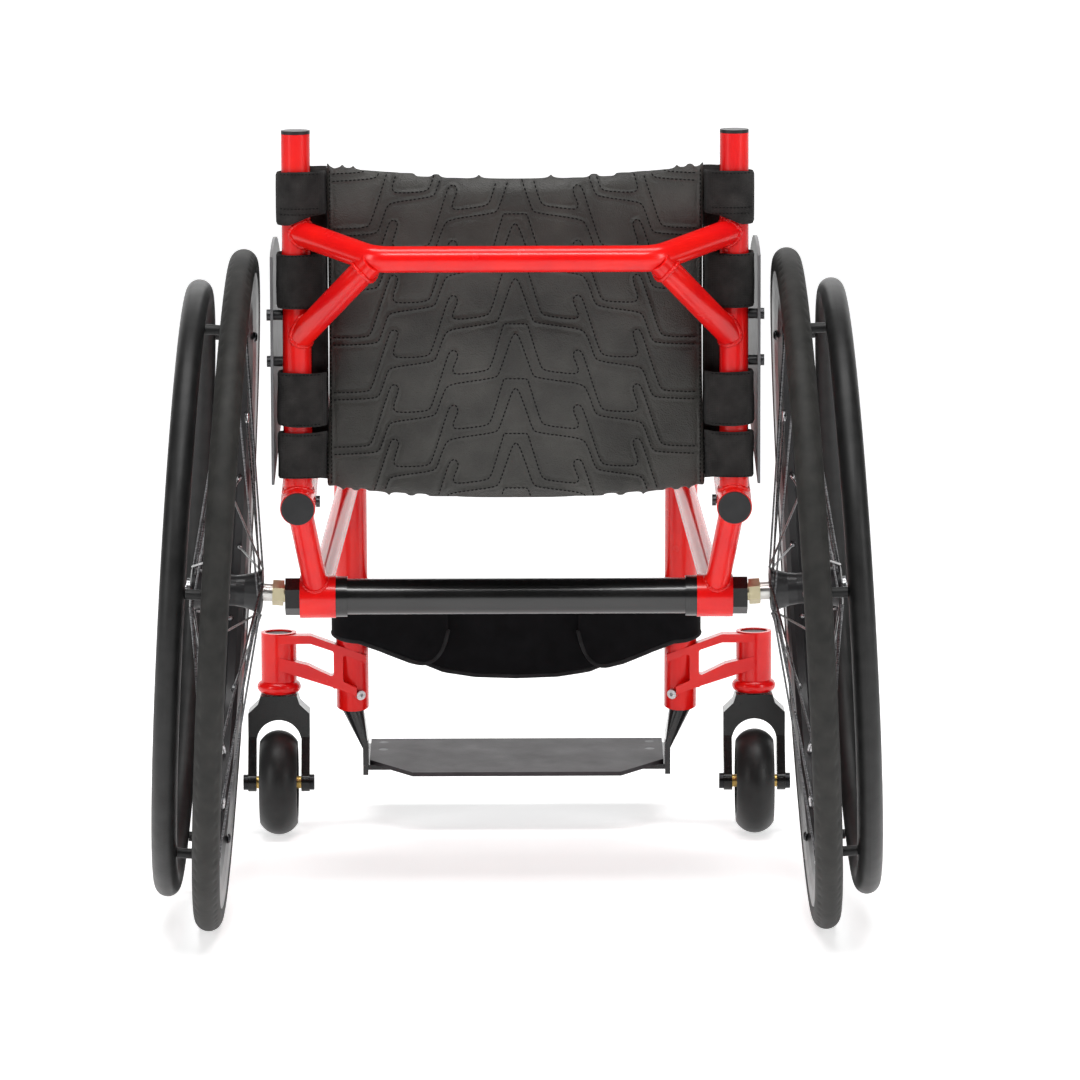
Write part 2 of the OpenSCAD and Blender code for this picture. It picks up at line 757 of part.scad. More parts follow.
// Half of the calf strap's lower edge, as distance from the middle and height up the front tube
calf_edge = [[0, 22.5], [knee_x - 117.5, 24], [knee_x - 87.5, 29], [knee_x - 55.5, 43],
             [knee_x - 26.5, 61], [knee_x - 7.5, 71], [knee_x + 32.5, 76]];
calf_top = 123;

module calf_strap() {
    inner = frame_tube_d / 2 + soft_gap;
    outer = inner + calf_t;
    lower = concat([for (p = calf_edge) p],
                   [[knee_x + 32.5, calf_top], [-knee_x - 32.5, calf_top]],
                   [for (i = [len(calf_edge) - 1:-1:1]) [-calf_edge[i].x, calf_edge[i].y]]);
    color(FABRIC) translate([-knee_x, 0, 0]) on_front_tube() intersection() {
        linear_extrude(calf_top) {
            translate([-knee_x, inner]) square([2 * knee_x, calf_t]);
            for (side = [-1, 1]) mirror([side < 0 ? 1 : 0, 0]) {
                translate([knee_x, 0]) difference() {
                    circle(r = outer);
                    circle(r = inner);
                    translate([-2 * outer, -outer - 1]) square([2 * outer, 2 * outer + 2]);
                }
                polygon([[knee_x + 0.1, -outer], [knee_x + 0.1, -inner], [120, -inner], [68, inner - 0.4],
                         [62, inner - 0.4], [62, inner - 3], [118, -outer]]);
            }
        }
        rotate([90, 0, 0]) translate([0, 0, -60]) linear_extrude(120) polygon(lower);
    }
}

/* ---- footrest ---- */

plate_screw_y = [89, 117];
plate_screw_x = plate_w / 2 - 12.5;
plate_screw_d = 5;
plate_head_d = 9;
plate_head_h = 1.8;

// The footplate's own frame: the middle of its rear edge, on its underside
module on_plate() {
    translate([0, axle_y + plate_reach, plate_height - plate_t]) rotate([plate_tilt, 0, 0]) children();
}

module footplate() {
    color(BLACK) on_plate() difference() {
        linear_extrude(plate_t)
            polygon([[-plate_rear_w / 2, 0], [plate_rear_w / 2, 0], [plate_w / 2, plate_corner],
                     [plate_w / 2, plate_depth], [-plate_w / 2, plate_depth],
                     [-plate_w / 2, plate_corner]]);
        both_sides() for (y = plate_screw_y) translate([plate_screw_x, y, 0]) {
            translate([0, 0, -eps])
                cylinder(d = plate_screw_d + 2 * weld_gap, h = plate_t + 2 * eps);
            translate([0, 0, plate_t - plate_head_h])
                cylinder(d = plate_head_d + 2 * weld_gap, h = plate_head_h + eps);
        }
    }
}

module footplate_screws() {
    color(BLACK) on_plate() both_sides() for (y = plate_screw_y) translate([plate_screw_x, y, 0]) {
        translate([0, 0, -blade_t - 1])
            cylinder(d = plate_screw_d, h = plate_t + blade_t + 1 - plate_head_h + 2 * weld_gap);
        translate([0, 0, plate_t - plate_head_h + weld_gap])
            cylinder(d = plate_head_d, h = plate_head_h - 2 * weld_gap);
    }
}

// A tube that slides in the front tube, flattened to a blade that turns in under the footplate
module extension_tube(side) {
    tube_d = frame_tube_d - 2 * (frame_wall + slide_fit);
    blade_x = plate_w / 2 + 1 + blade_t / 2 - knee_x;
    blade_low = -(foot_height - plate_height + plate_t) / cos(front_lean);
    color(BLACK) on_side(side) difference() {
        union() {
            on_front_tube() {
                difference() {
                    translate([0, 0, -1.5]) cylinder(d = tube_d, h = extension_len + 1.5);
                    translate([0, 0, 6]) cylinder(d = tube_d - 2 * extension_wall, h = extension_len);
                }
                hull() {
                    translate([0, 0, -4]) cylinder(d = 20, h = 4, $fn = 32);
                    translate([blade_x - blade_t / 2, -blade_w / 2, -38])
                        cube([blade_t, blade_w, 3]);
                }
                translate([blade_x - blade_t / 2, -blade_w / 2, blade_low])
                    cube([blade_t, blade_w, -blade_low - 36]);
            }
            on_plate() translate([plate_w / 2 - 25, plate_corner - 5, -blade_t])
                cube([knee_x + blade_x + blade_t / 2 - plate_w / 2 + 25,
                      plate_screw_y[1] + 16 - plate_corner, blade_t]);
        }
        on_plate() for (y = plate_screw_y) translate([plate_screw_x, y, -2 * blade_t])
            cylinder(d = plate_screw_d + 2 * weld_gap, h = 3 * blade_t);
        on_plate() translate([0, 0, 0]) linear_extrude(plate_t + weld_gap)
            square([plate_w / 2 + weld_gap, plate_depth]);
    }
}

/* ---- rear wheels ---- */

module quick_release_axle(side) {
    color(STEEL) on_wheel(side) difference() {
        union() {
            translate([0, 0, axle_in_s]) cylinder(d = axle_d, h = axle_out_s - axle_in_s);
            translate([0, 0, hub_half + 0.5]) cylinder(d = axle_d + 5, h = 3);
        }
        translate([0, 0, rod_in_s - button_travel - 1])
            cylinder(d = button_rod_d + 2 * slide_fit, h = axle_out_s);
    }
}

module release_button(side) {
    cap_from = axle_out_s + button_travel + 0.3;
    color(STEEL) on_wheel(side) union() {
        translate([0, 0, rod_in_s])
            cylinder(d = button_rod_d, h = cap_from - rod_in_s + eps);
        translate([0, 0, cap_from]) cylinder(d = button_cap_d, h = 3.5);
    }
}

module tyre(side) {
    base_half = rim_half - 1.7;
    base_r = bed_r + 0.5;
    color(RUBBER) on_wheel(side) rotate_extrude($fn = 180) {
        intersection() {
            translate([tyre_centre_r, 0]) circle(d = tyre_w);
            translate([base_r, -tyre_w]) square([tyre_w, 2 * tyre_w]);
        }
        translate([base_r, -base_half]) square([7, 2 * base_half]);
    }
}

module rim(side) {
    lip = 3.7;
    color(BLACK) on_wheel(side) rotate_extrude($fn = 180) difference() {
        polygon([[rim_in_r, -3.5], [rim_in_r, 3.5], [rim_in_r + 5, 7.5], [rim_in_r + 13, 10],
                 [rim_bed_r + lip, rim_half], [rim_bed_r + lip, rim_half - 1.3],
                 [rim_bed_r, rim_half - 1.3], [rim_bed_r, 1.3 - rim_half],
                 [rim_bed_r + lip, 1.3 - rim_half], [rim_bed_r + lip, -rim_half],
                 [rim_in_r + 13, -10], [rim_in_r + 5, -7.5]]);
        polygon([[rim_in_r + 2, -2.6], [rim_in_r + 2, 2.6], [rim_in_r + 6, 5.8],
                 [rim_in_r + 13, 8.2], [rim_bed_r - 1.8, rim_half - 2.4],
                 [rim_bed_r - 1.8, 2.4 - rim_half], [rim_in_r + 13, -8.2], [rim_in_r + 6, -5.8]]);
    }
}

function on_circle(r, angle, s) = [r * cos(angle), r * sin(angle), s];

// Crossed spokes: a spoke leans a sixth of a turn forward, and its neighbour as much back
module spokes(side) {
    per_flange = spoke_count / 2;
    step = 360 / per_flange;
    root_r = hub_flange_d / 2 + spoke_d / 2 + 0.1;
    tip_r = rim_in_r - spoke_d / 2 - 0.1;
    color(STEEL) on_wheel(side) for (flange = [-1, 1]) for (k = [0:per_flange - 1]) {
        lean = k % 2 == 0 ? 1 : -1;
        at = k * step + (flange > 0 ? step / 2 : 0);
        rod(on_circle(root_r, at, flange * (flange_s + 1.5 * lean)),
            on_circle(tip_r, at + lean * 2 * step, flange * (2.1 + 0.9 * lean)), spoke_d);
    }
}

module hub(side) {
    flange_r = hub_flange_d / 2;
    waist_r = hub_waist_d / 2;
    seat_r = hub_bearing_d / 2 + run_fit;
    seat_s = hub_half - 0.8 - hub_bearing_w;
    color(BLACK) on_wheel(side) rotate_extrude() difference() {
        polygon([[8.5, -hub_half], [seat_r + 1.8, -hub_half], [flange_r, -flange_s - 1.2],
                 [flange_r, -flange_s + 1.8], [flange_r - 1.6, -flange_s + 2.4],
                 [waist_r + 1.2, -hub_half / 2], [waist_r, -hub_half / 4],
                 [waist_r, hub_half / 4], [waist_r + 1.2, hub_half / 2],
                 [flange_r - 1.6, flange_s - 2.4], [flange_r, flange_s - 1.8],
                 [flange_r, flange_s + 1.2], [seat_r + 1.8, hub_half], [8.5, hub_half]]);
        for (flange = [-1, 1]) translate([0, flange > 0 ? seat_s : -hub_half - eps])
            square([seat_r, hub_half - seat_s + eps]);
    }
}

module hub_bearings(side) {
    seat_s = hub_half - 0.8 - hub_bearing_w;
    color(STEEL) on_wheel(side) for (from = [seat_s + weld_gap, -seat_s - weld_gap - hub_bearing_w])
        ring(hub_bearing_d, axle_d + 2 * run_fit, from, from + hub_bearing_w);
}

// The handrim and the round tabs that hold it off the rim
module handrim(side) {
    tab_from = 9.8;
    tab_to = handrim_offset - handrim_tube_d / 2 - weld_gap;
    color(RUBBER) on_wheel(side) {
        translate([0, 0, handrim_offset]) rotate_extrude($fn = 180)
            translate([handrim_r, 0]) circle(d = handrim_tube_d);
        for (k = [0:tab_count - 1]) rotate([0, 0, 360 / tab_count * k + 22])
            translate([handrim_r, 0, tab_from]) cylinder(d = tab_d, h = tab_to - tab_from);
    }
}

/* ---- casters ---- */

// Crown and two blades, with the stem that turns in the housing
module caster_fork(side) {
    top_half = housing_d / 2 + 0.5;
    half = fork_w / 2;
    crown_depth = 32;
    stem_top = housing_z + housing_len - 7;
    axle_r = 9;
    color(BLACK) on_stem(side) {
        difference() {
            union() {
                translate([0, crown_depth / 2 - 2, 0]) rotate([90, 0, 0])
                    linear_extrude(crown_depth)
                        polygon([[-top_half, fork_top_z], [top_half, fork_top_z],
                                 [top_half + 2.5, fork_top_z - 8], [half, fork_top_z - 17],
                                 [half, fork_arch_z + 4], [-half, fork_arch_z + 4],
                                 [-half, fork_top_z - 17], [-top_half - 2.5, fork_top_z - 8]]);
                for (blade = [-1, 1]) translate([blade * (half - fork_blade / 2), 0, 0])
                    rotate([90, 0, 90]) linear_extrude(fork_blade, center = true) {
                        polygon([[-caster_trail - axle_r, caster_r], [-caster_trail + axle_r, caster_r],
                                 [crown_depth / 2 - 2, fork_arch_z + 5],
                                 [-crown_depth / 2 - 2, fork_arch_z + 5]]);
                        translate([-caster_trail, caster_r]) circle(r = axle_r);
                    }
            }
            translate([0, crown_depth, fork_arch_z]) rotate([90, 0, 0])
                cylinder(r = fork_in_half, h = 2 * crown_depth);
            along_x(-half - 1, half + 1, caster_axle_d + 2 * weld_gap, -caster_trail, caster_r);
        }
        translate([0, 0, fork_top_z - eps]) cylinder(d = stem_d, h = stem_top - fork_top_z + eps);
        translate([0, 0, stem_top - 8]) cylinder(d = 19, h = 7.5, $fn = 6);
    }
}

// Axle bolt with its nut, and the brass spacers either side of the hub
module caster_axle(side) {
    half = fork_w / 2;
    color(BLACK) on_stem(side) {
        along_x(-half - 1, half + 1, caster_axle_d, -caster_trail, caster_r);
        along_x(half + weld_gap, half + 4.5, 15, -caster_trail, caster_r);
        along_x(-half - 4.5, -half - weld_gap, 15, -caster_trail, caster_r);
    }
    color(BRASS) on_stem(side) for (inner = [caster_hub_w / 2 + 0.2, -fork_in_half + weld_gap])
        difference() {
            along_x(inner, inner + fork_in_half - caster_hub_w / 2 - 0.3, 12, -caster_trail,
                    caster_r);
            along_x(inner - 1, inner + 20, caster_axle_d + 2 * weld_gap, -caster_trail, caster_r);
        }
}

module on_caster_axle(side) {
    on_stem(side) translate([0, -caster_trail, caster_r]) rotate([0, 90, 0]) children();
}

module caster_tyre(side) {
    inner_r = caster_r - caster_tyre_depth;
    crown_r = caster_w / 2 + 2.5;
    color(RUBBER) on_caster_axle(side) rotate_extrude() intersection() {
        translate([inner_r, -caster_w / 2]) square([caster_tyre_depth + 1, caster_w]);
        translate([caster_r - crown_r, 0]) circle(r = crown_r);
    }
}

module caster_core(side) {
    outer_r = caster_r - caster_tyre_depth - weld_gap;
    seat_r = caster_bearing_d / 2 + run_fit;
    hub_r = seat_r + 2.5;
    half = caster_hub_w / 2;
    color(BLACK) on_caster_axle(side) rotate_extrude() difference() {
        union() {
            translate([6, -half]) square([hub_r - 6, caster_hub_w]);
            translate([6, -4]) square([outer_r - 7, 8]);
            translate([outer_r - 3, -caster_w / 2 + 2.5]) square([3, caster_w - 5]);
        }
        for (end = [-1, 1]) translate([0, end > 0 ? half - caster_bearing_w : -half - eps])
            square([seat_r, caster_bearing_w + eps]);
    }
}

module caster_bearings(side) {
    half = caster_hub_w / 2;
    color(STEEL) on_caster_axle(side)
        for (from = [half - caster_bearing_w + weld_gap, -half - weld_gap])
            ring(caster_bearing_d, caster_axle_d + 2 * run_fit, from, from + caster_bearing_w);
}

side_frame(-1);  // side_frame_left
side_frame(1);  // side_frame_right
back_cane(-1);  // back_cane_left
back_cane(1);  // back_cane_right
back_brace();
brace_stays();
rear_strut(-1);  // rear_strut_left
rear_strut(1);  // rear_strut_right
lower_struts();
axle_sleeves();
camber_tube();
camber_collars();
camber_plugs();
axle_receivers();
caster_arm(-1);  // caster_arm_left
caster_arm(1);  // caster_arm_right
caster_housings();
stem_bearings();
housing_caps();
side_guard(-1);  // side_guard_left
side_guard(1);  // side_guard_right
guard_bolts();
guard_spacers();
back_panel();
back_straps();
seat_sling();
calf_strap();
tube_caps();
cane_bolts();
extension_clamp_bolts();
extension_tube(-1);  // extension_tube_left
extension_tube(1);  // extension_tube_right
footplate();
footplate_screws();
quick_release_axle(-1);  // quick_release_axle_left
quick_release_axle(1);  // quick_release_axle_right
release_button(-1);  // release_button_left
release_button(1);  // release_button_right
tyre(-1);  // tyre_left
tyre(1);  // tyre_right
rim(-1);  // rim_left
rim(1);  // rim_right
spokes(-1);  // spokes_left
spokes(1);  // spokes_right
hub(-1);  // hub_left
hub(1);  // hub_right
hub_bearings(-1);  // hub_bearings_left
hub_bearings(1);  // hub_bearings_right
handrim(-1);  // handrim_left
handrim(1);  // handrim_right
caster_fork(-1);  // caster_fork_left
caster_fork(1);  // caster_fork_right
caster_axle(-1);  // caster_axle_left
caster_axle(1);  // caster_axle_right
caster_tyre(-1);  // caster_tyre_left
caster_tyre(1);  // caster_tyre_right
caster_core(-1);  // caster_core_left
caster_core(1);  // caster_core_right
caster_bearings(-1);  // caster_bearings_left
caster_bearings(1);  // caster_bearings_right
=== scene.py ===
# %% [markdown]
# # A rigid-frame wheelchair around its own measured frame
# Every tube, bearing and bolt of this chair already exists as a solid with true sizes. This lesson
# loads those solids, gives each a finish that looks like its real material, and builds one by one what
# solids do badly: the quilted back, the straps, the seat cloth, the weld beads and the tread marks.

# %% Load the measured solids
import math

import bmesh
import bpy
import numpy as np
from mathutils import Matrix, Vector, noise
from mathutils.bvhtree import BVHTree
from mathutils.kdtree import KDTree


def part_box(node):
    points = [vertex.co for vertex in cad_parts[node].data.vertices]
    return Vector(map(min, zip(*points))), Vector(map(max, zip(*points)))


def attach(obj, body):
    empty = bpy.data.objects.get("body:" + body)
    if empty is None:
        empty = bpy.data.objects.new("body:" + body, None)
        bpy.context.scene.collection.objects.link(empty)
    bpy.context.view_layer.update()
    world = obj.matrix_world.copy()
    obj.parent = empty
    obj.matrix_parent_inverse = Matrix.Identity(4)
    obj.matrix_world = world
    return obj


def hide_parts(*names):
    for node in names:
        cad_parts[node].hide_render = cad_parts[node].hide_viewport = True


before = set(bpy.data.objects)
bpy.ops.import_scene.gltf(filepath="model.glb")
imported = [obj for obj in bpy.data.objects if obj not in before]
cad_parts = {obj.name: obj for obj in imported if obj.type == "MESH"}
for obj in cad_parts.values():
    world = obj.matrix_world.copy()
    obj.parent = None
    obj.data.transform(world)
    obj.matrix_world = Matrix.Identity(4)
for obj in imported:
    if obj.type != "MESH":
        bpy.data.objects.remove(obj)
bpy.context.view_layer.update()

MM = 0.001

# %% [markdown]
# ## Where things are
# Positions are read from the solids instead of being typed twice. The camber tube gives the axle line,
# a back cane gives the canes' place, and so on.

# %% Measure the solids
def middle(node):
    low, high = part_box(node)
    return (low + high) / 2


AXLE = middle("camber_tube")
CANE = middle("back_cane_right")
CANE_X, CANE_Y = CANE.x, CANE.y
CAMBER = math.radians(3.3)
HUB_X = 0.2584
HUB_Z = AXLE.z + (HUB_X - 0.150) * math.tan(CAMBER)
print("axle at", round(AXLE.y, 4), round(AXLE.z, 4), "canes at", round(CANE_X, 4), round(CANE_Y, 4))

# %% [markdown]
# ## The camera
# A long lens six metres behind the chair and a little above it keeps the two wheels almost parallel.
# The camera is aimed with three unit vectors, which is plainer than chaining Euler angles.

# %% Place the camera
lens = bpy.data.cameras.new("camera")
lens.lens = 228.4
lens.sensor_width = 36
lens.clip_end = 200
camera = bpy.data.objects.new("camera", lens)
bpy.context.collection.objects.link(camera)
bpy.context.scene.camera = camera

pitch, yaw, roll = math.radians(8.65), math.radians(0.23), math.radians(0.17)
ahead = Vector((math.sin(yaw) * math.cos(pitch), math.cos(yaw) * math.cos(pitch), -math.sin(pitch)))
level = Vector((math.cos(yaw), -math.sin(yaw), 0))
above = level.cross(ahead)
across = math.cos(roll) * level - math.sin(roll) * above
upward = math.sin(roll) * level + math.cos(roll) * above
camera.matrix_world = (Matrix.Translation((-0.003, AXLE.y - 6.04, 1.267))
                       @ Matrix((across, upward, -ahead)).transposed().to_4x4())
print("camera", [round(v, 3) for v in camera.location])

# %% [markdown]
# ## Floor and light
# Product pictures of such chairs are lit by big soft panels: one overhead for the long highlights along
# the tubes, one on each side for the bright edges of the canes. The room itself stays dim, because a
# black part reflects it; only the floor and the backdrop are white.

# %% Make the floor and the lights
def stage_sheet(name, corners, finish):
    mesh = bpy.data.meshes.new(name)
    mesh.from_pydata(corners, [], [(0, 1, 2, 3)])
    mesh.materials.append(finish)
    sheet = bpy.data.objects.new(name, mesh)
    bpy.context.collection.objects.link(sheet)
    return sheet


def softbox(name, place, target, size, watts):
    light = bpy.data.lights.new(name, "AREA")
    light.shape = "RECTANGLE"
    light.size, light.size_y = size
    light.energy = watts
    lamp = bpy.data.objects.new(name, light)
    lamp.location = place
    lamp.rotation_euler = (Vector(target) - Vector(place)).to_track_quat("-Z", "Y").to_euler()
    bpy.context.collection.objects.link(lamp)
    return lamp


def stage_paint(name, glow):
    paint = bpy.data.materials.new(name)
    paint.use_nodes = True
    shader = paint.node_tree.nodes["Principled BSDF"]
    shader.inputs["Roughness"].default_value = 0.8
    shader.inputs["Specular IOR Level"].default_value = 0.1
    shader.inputs["Emission Strength"].default_value = glow
    mottle = paint.node_tree.nodes.new("ShaderNodeTexNoise")
    mottle.inputs["Scale"].default_value = 2
    shade = paint.node_tree.nodes.new("ShaderNodeValToRGB")
    shade.color_ramp.elements[0].color = (0.93, 0.93, 0.93, 1)
    shade.color_ramp.elements[1].color = (0.96, 0.96, 0.96, 1)
    paint.node_tree.links.new(mottle.outputs["Fac"], shade.inputs["Fac"])
    paint.node_tree.links.new(shade.outputs["Color"], shader.inputs["Base Color"])
    paint.node_tree.links.new(shade.outputs["Color"], shader.inputs["Emission Color"])
    return paint


stage_sheet("floor", [(-9, -9, -0.0004), (9, -9, -0.0004), (9, 9, -0.0004), (-9, 9, -0.0004)],
            stage_paint("floor_paint", 0.62))
stage_sheet("backdrop", [(-9, 9, -0.0004), (9, 9, -0.0004), (9, 9, 6), (-9, 9, 6)],
            stage_paint("backdrop_paint", 1.05))
softbox("overhead_panel", (0, -0.2, 3.2), (0, -0.2, 0), (2.6, 0.9), 52)
softbox("high_rear_panel", (0, -2.3, 3.3), (0, -0.1, 0.4), (2.2, 0.6), 62)
softbox("left_panel", (-2.9, -2.4, 1.6), (0, 0, 0.5), (0.7, 2.2), 36)
softbox("right_panel", (2.9, -2.4, 1.6), (0, 0, 0.5), (0.7, 2.2), 36)
softbox("front_panel", (0, 3.4, 2.6), (0, 0, 0.4), (2.6, 1.6), 16)
room = bpy.data.worlds.new("dim_room")
room.use_nodes = True
room.node_tree.nodes["Background"].inputs["Color"].default_value = (1, 1, 1, 1)
room.node_tree.nodes["Background"].inputs["Strength"].default_value = 0.05
bpy.context.scene.world = room
bpy.context.scene.view_settings.view_transform = "Standard"

# %% [markdown]
# ## A small tool kit for finishes
# Every finish starts from one shader. Three things then make it look like a material: a colour that
# wanders a little, a roughness that wanders with it, and a fine height map. The textures use object
# coordinates in metres, so a scale of 1000 is one cell a millimetre on every piece.

# %% Finish helpers
def new_finish(name, rough, metal=0.0, coat=0.0, coat_rough=0.1, sheen=0.0, shine=0.5):
    finish = bpy.data.materials.new(name)
    finish.use_nodes = True
    shader = finish.node_tree.nodes["Principled BSDF"]
    shader.inputs["Roughness"].default_value = rough
    shader.inputs["Metallic"].default_value = metal
    shader.inputs["Coat Weight"].default_value = coat
    shader.inputs["Coat Roughness"].default_value = coat_rough
    shader.inputs["Sheen Weight"].default_value = sheen
    shader.inputs["Specular IOR Level"].default_value = shine
    return finish, finish.node_tree, shader


def place_in_metres(tree):
    return tree.nodes.new("ShaderNodeTexCoord").outputs["Object"]


def cloud(tree, scale, detail=3.0, stretch=None):
    texture = tree.nodes.new("ShaderNodeTexNoise")
    texture.inputs["Scale"].default_value = scale
    texture.inputs["Detail"].default_value = detail
    where = place_in_metres(tree)
    if stretch:
        mapping = tree.nodes.new("ShaderNodeMapping")
        mapping.inputs["Scale"].default_value = stretch
        tree.links.new(where, mapping.inputs["Vector"])
        where = mapping.outputs["Vector"]
    tree.links.new(where, texture.inputs["Vector"])
    return texture.outputs["Fac"]


def blend_colours(tree, amount, first, second, low=0.35, high=0.65):
    ramp = tree.nodes.new("ShaderNodeValToRGB")
    ramp.color_ramp.elements[0].position, ramp.color_ramp.elements[1].position = low, high
    ramp.color_ramp.elements[0].color = (*first, 1)
    ramp.color_ramp.elements[1].color = (*second, 1)
    tree.links.new(amount, ramp.inputs["Fac"])
    return ramp.outputs["Color"]


def vary_roughness(tree, shader, amount, low, high):
    spread = tree.nodes.new("ShaderNodeMapRange")
    spread.inputs["To Min"].default_value = low
    spread.inputs["To Max"].default_value = high
    tree.links.new(amount, spread.inputs["Value"])
    tree.links.new(spread.outputs["Result"], shader.inputs["Roughness"])


def add_height(tree, shader, height, strength, distance):
    bump = tree.nodes.new("ShaderNodeBump")
    bump.inputs["Strength"].default_value = strength
    bump.inputs["Distance"].default_value = distance
    tree.links.new(height, bump.inputs["Height"])
    tree.links.new(bump.outputs["Normal"], shader.inputs["Normal"])


def total(tree, *values):
    out = values[0]
    for value in values[1:]:
        add = tree.nodes.new("ShaderNodeMath")
        tree.links.new(out, add.inputs[0])
        tree.links.new(value, add.inputs[1])
        out = add.outputs["Value"]
    return out


# %% [markdown]
# ## Paint, metal and plastic
# Powder coat is baked plastic: glossy, very slightly wavy, and a touch darker where it is thin. Black
# anodising is tighter and more satin. Bare steel shows fine turning marks, so its noise is stretched.

# %% Painted and plated finishes
def coated(name, thin, full, rough, coat, wave=260, grain=1600, shine=0.3):
    finish, tree, shader = new_finish(name, rough, coat=coat, coat_rough=0.12, shine=shine)
    tree.links.new(blend_colours(tree, cloud(tree, 22, 4), thin, full), shader.inputs["Base Color"])
    vary_roughness(tree, shader, cloud(tree, 45, 5), rough - 0.05, rough + 0.07)
    add_height(tree, shader, total(tree, cloud(tree, wave, 2), cloud(tree, grain, 2)), 0.16, 0.00018)
    return finish


def metal(name, dark, light, rough, stretch=(60, 60, 900)):
    finish, tree, shader = new_finish(name, rough, metal=1.0)
    marks = cloud(tree, 1, 6, stretch)
    tree.links.new(blend_colours(tree, marks, dark, light), shader.inputs["Base Color"])
    vary_roughness(tree, shader, cloud(tree, 120, 4), rough - 0.06, rough + 0.1)
    add_height(tree, shader, marks, 0.12, 0.0001)
    return finish


RED = coated("red_powder_coat", (0.68, 0.004, 0.006), (0.80, 0.008, 0.005), 0.24, 0.22)
WELD_RED = coated("red_over_weld", (0.60, 0.004, 0.006), (0.76, 0.008, 0.005), 0.26, 0.25, wave=900)
SATIN_BLACK = coated("satin_black_tube", (0.004, 0.004, 0.004), (0.008, 0.008, 0.008), 0.24, 0.3, shine=0.5)
GLOSS_BLACK = coated("gloss_black_paint", (0.005, 0.005, 0.005), (0.010, 0.010, 0.010), 0.24, 0.15)
CRINKLE_BLACK = coated("crinkled_black", (0.007, 0.007, 0.008), (0.016, 0.016, 0.017), 0.26, 0.5, 700, 380)
WHEEL_BLACK = coated("black_wheel_parts", (0.009, 0.009, 0.010), (0.016, 0.016, 0.017), 0.36, 0.2)
STEEL = metal("turned_steel", (0.42, 0.42, 0.43), (0.66, 0.66, 0.67), 0.26)
BLACK_STEEL = metal("black_oxide_steel", (0.035, 0.035, 0.037), (0.09, 0.09, 0.095), 0.34)
SPOKE_STEEL = metal("black_spoke_steel", (0.05, 0.05, 0.053), (0.16, 0.16, 0.165), 0.28)
print("paints and metals:", len(bpy.data.materials))

# %% [markdown]
# ## Two-tone small parts
# Some turned parts are two metals in a row, such as a silver nose with a yellow plated hexagon, or a
# black bolt between brass spacers. The distance from the chair's middle picks the metal.

# %% Parts that change metal along their length
def two_metals(name, inner, outer, split, ramp_width=0.0006, centre=0.0):
    finish, tree, shader = new_finish(name, 0.3, metal=1.0)
    axes = tree.nodes.new("ShaderNodeSeparateXYZ")
    tree.links.new(place_in_metres(tree), axes.inputs["Vector"])
    away = tree.nodes.new("ShaderNodeMath")
    away.operation = "ABSOLUTE"
    tree.links.new(axes.outputs["X"], away.inputs[0])
    out = away.outputs["Value"]
    if centre:
        shift = tree.nodes.new("ShaderNodeMath")
        shift.operation = "SUBTRACT"
        shift.inputs[1].default_value = centre
        tree.links.new(out, shift.inputs[0])
        again = tree.nodes.new("ShaderNodeMath")
        again.operation = "ABSOLUTE"
        tree.links.new(shift.outputs["Value"], again.inputs[0])
        out = again.outputs["Value"]
    step = tree.nodes.new("ShaderNodeMapRange")
    step.inputs["From Min"].default_value = split - ramp_width
    step.inputs["From Max"].default_value = split + ramp_width
    tree.links.new(out, step.inputs["Value"])
    tree.links.new(blend_colours(tree, step.outputs["Result"], inner, outer, 0.45, 0.55),
                   shader.inputs["Base Color"])
    marks = cloud(tree, 1, 5, (900, 120, 120))
    vary_roughness(tree, shader, marks, 0.22, 0.42)
    add_height(tree, shader, marks, 0.15, 0.0001)
    return finish


RECEIVER = two_metals("receiver_plating", (0.56, 0.50, 0.33), (0.66, 0.65, 0.62), 0.2175)
CASTER_BOLT = two_metals("bolt_and_brass", (0.62, 0.42, 0.13), (0.03, 0.03, 0.032), 0.0216,
                         centre=middle("caster_fork_right").x)

# %% [markdown]
# ## Rubber, plastic and board
# Tyre rubber is nearly black, dusty and very rough, with a mottled bloom. Moulded plastic has a fine
# spark-eroded grain. The side guards are thin board, and their finish turns light grey wherever the
# surface doesn't face sideways, which draws a pale line along their edges.

# %% Rubber and plastic finishes
def rubber(name, dark, light, rough, grain):
    finish, tree, shader = new_finish(name, rough, shine=0.3)
    bloom = cloud(tree, 60, 6)
    tree.links.new(blend_colours(tree, bloom, dark, light, 0.3, 0.75), shader.inputs["Base Color"])
    vary_roughness(tree, shader, cloud(tree, 35, 4), rough - 0.1, rough + 0.08)
    add_height(tree, shader, total(tree, cloud(tree, grain, 3), cloud(tree, 240, 2)), 0.3, 0.00022)
    return finish


def edged_board(name, face, edge):
    finish, tree, shader = new_finish(name, 0.45)
    coordinates = tree.nodes.new("ShaderNodeTexCoord")
    axes = tree.nodes.new("ShaderNodeSeparateXYZ")
    tree.links.new(coordinates.outputs["Normal"], axes.inputs["Vector"])
    sideways = tree.nodes.new("ShaderNodeMath")
    sideways.operation = "ABSOLUTE"
    tree.links.new(axes.outputs["X"], sideways.inputs[0])
    tree.links.new(blend_colours(tree, sideways.outputs["Value"], edge, face, 0.45, 0.55),
                   shader.inputs["Base Color"])
    vary_roughness(tree, shader, cloud(tree, 90, 5), 0.36, 0.52)
    add_height(tree, shader, cloud(tree, 1400, 2), 0.15, 0.0001)
    return finish


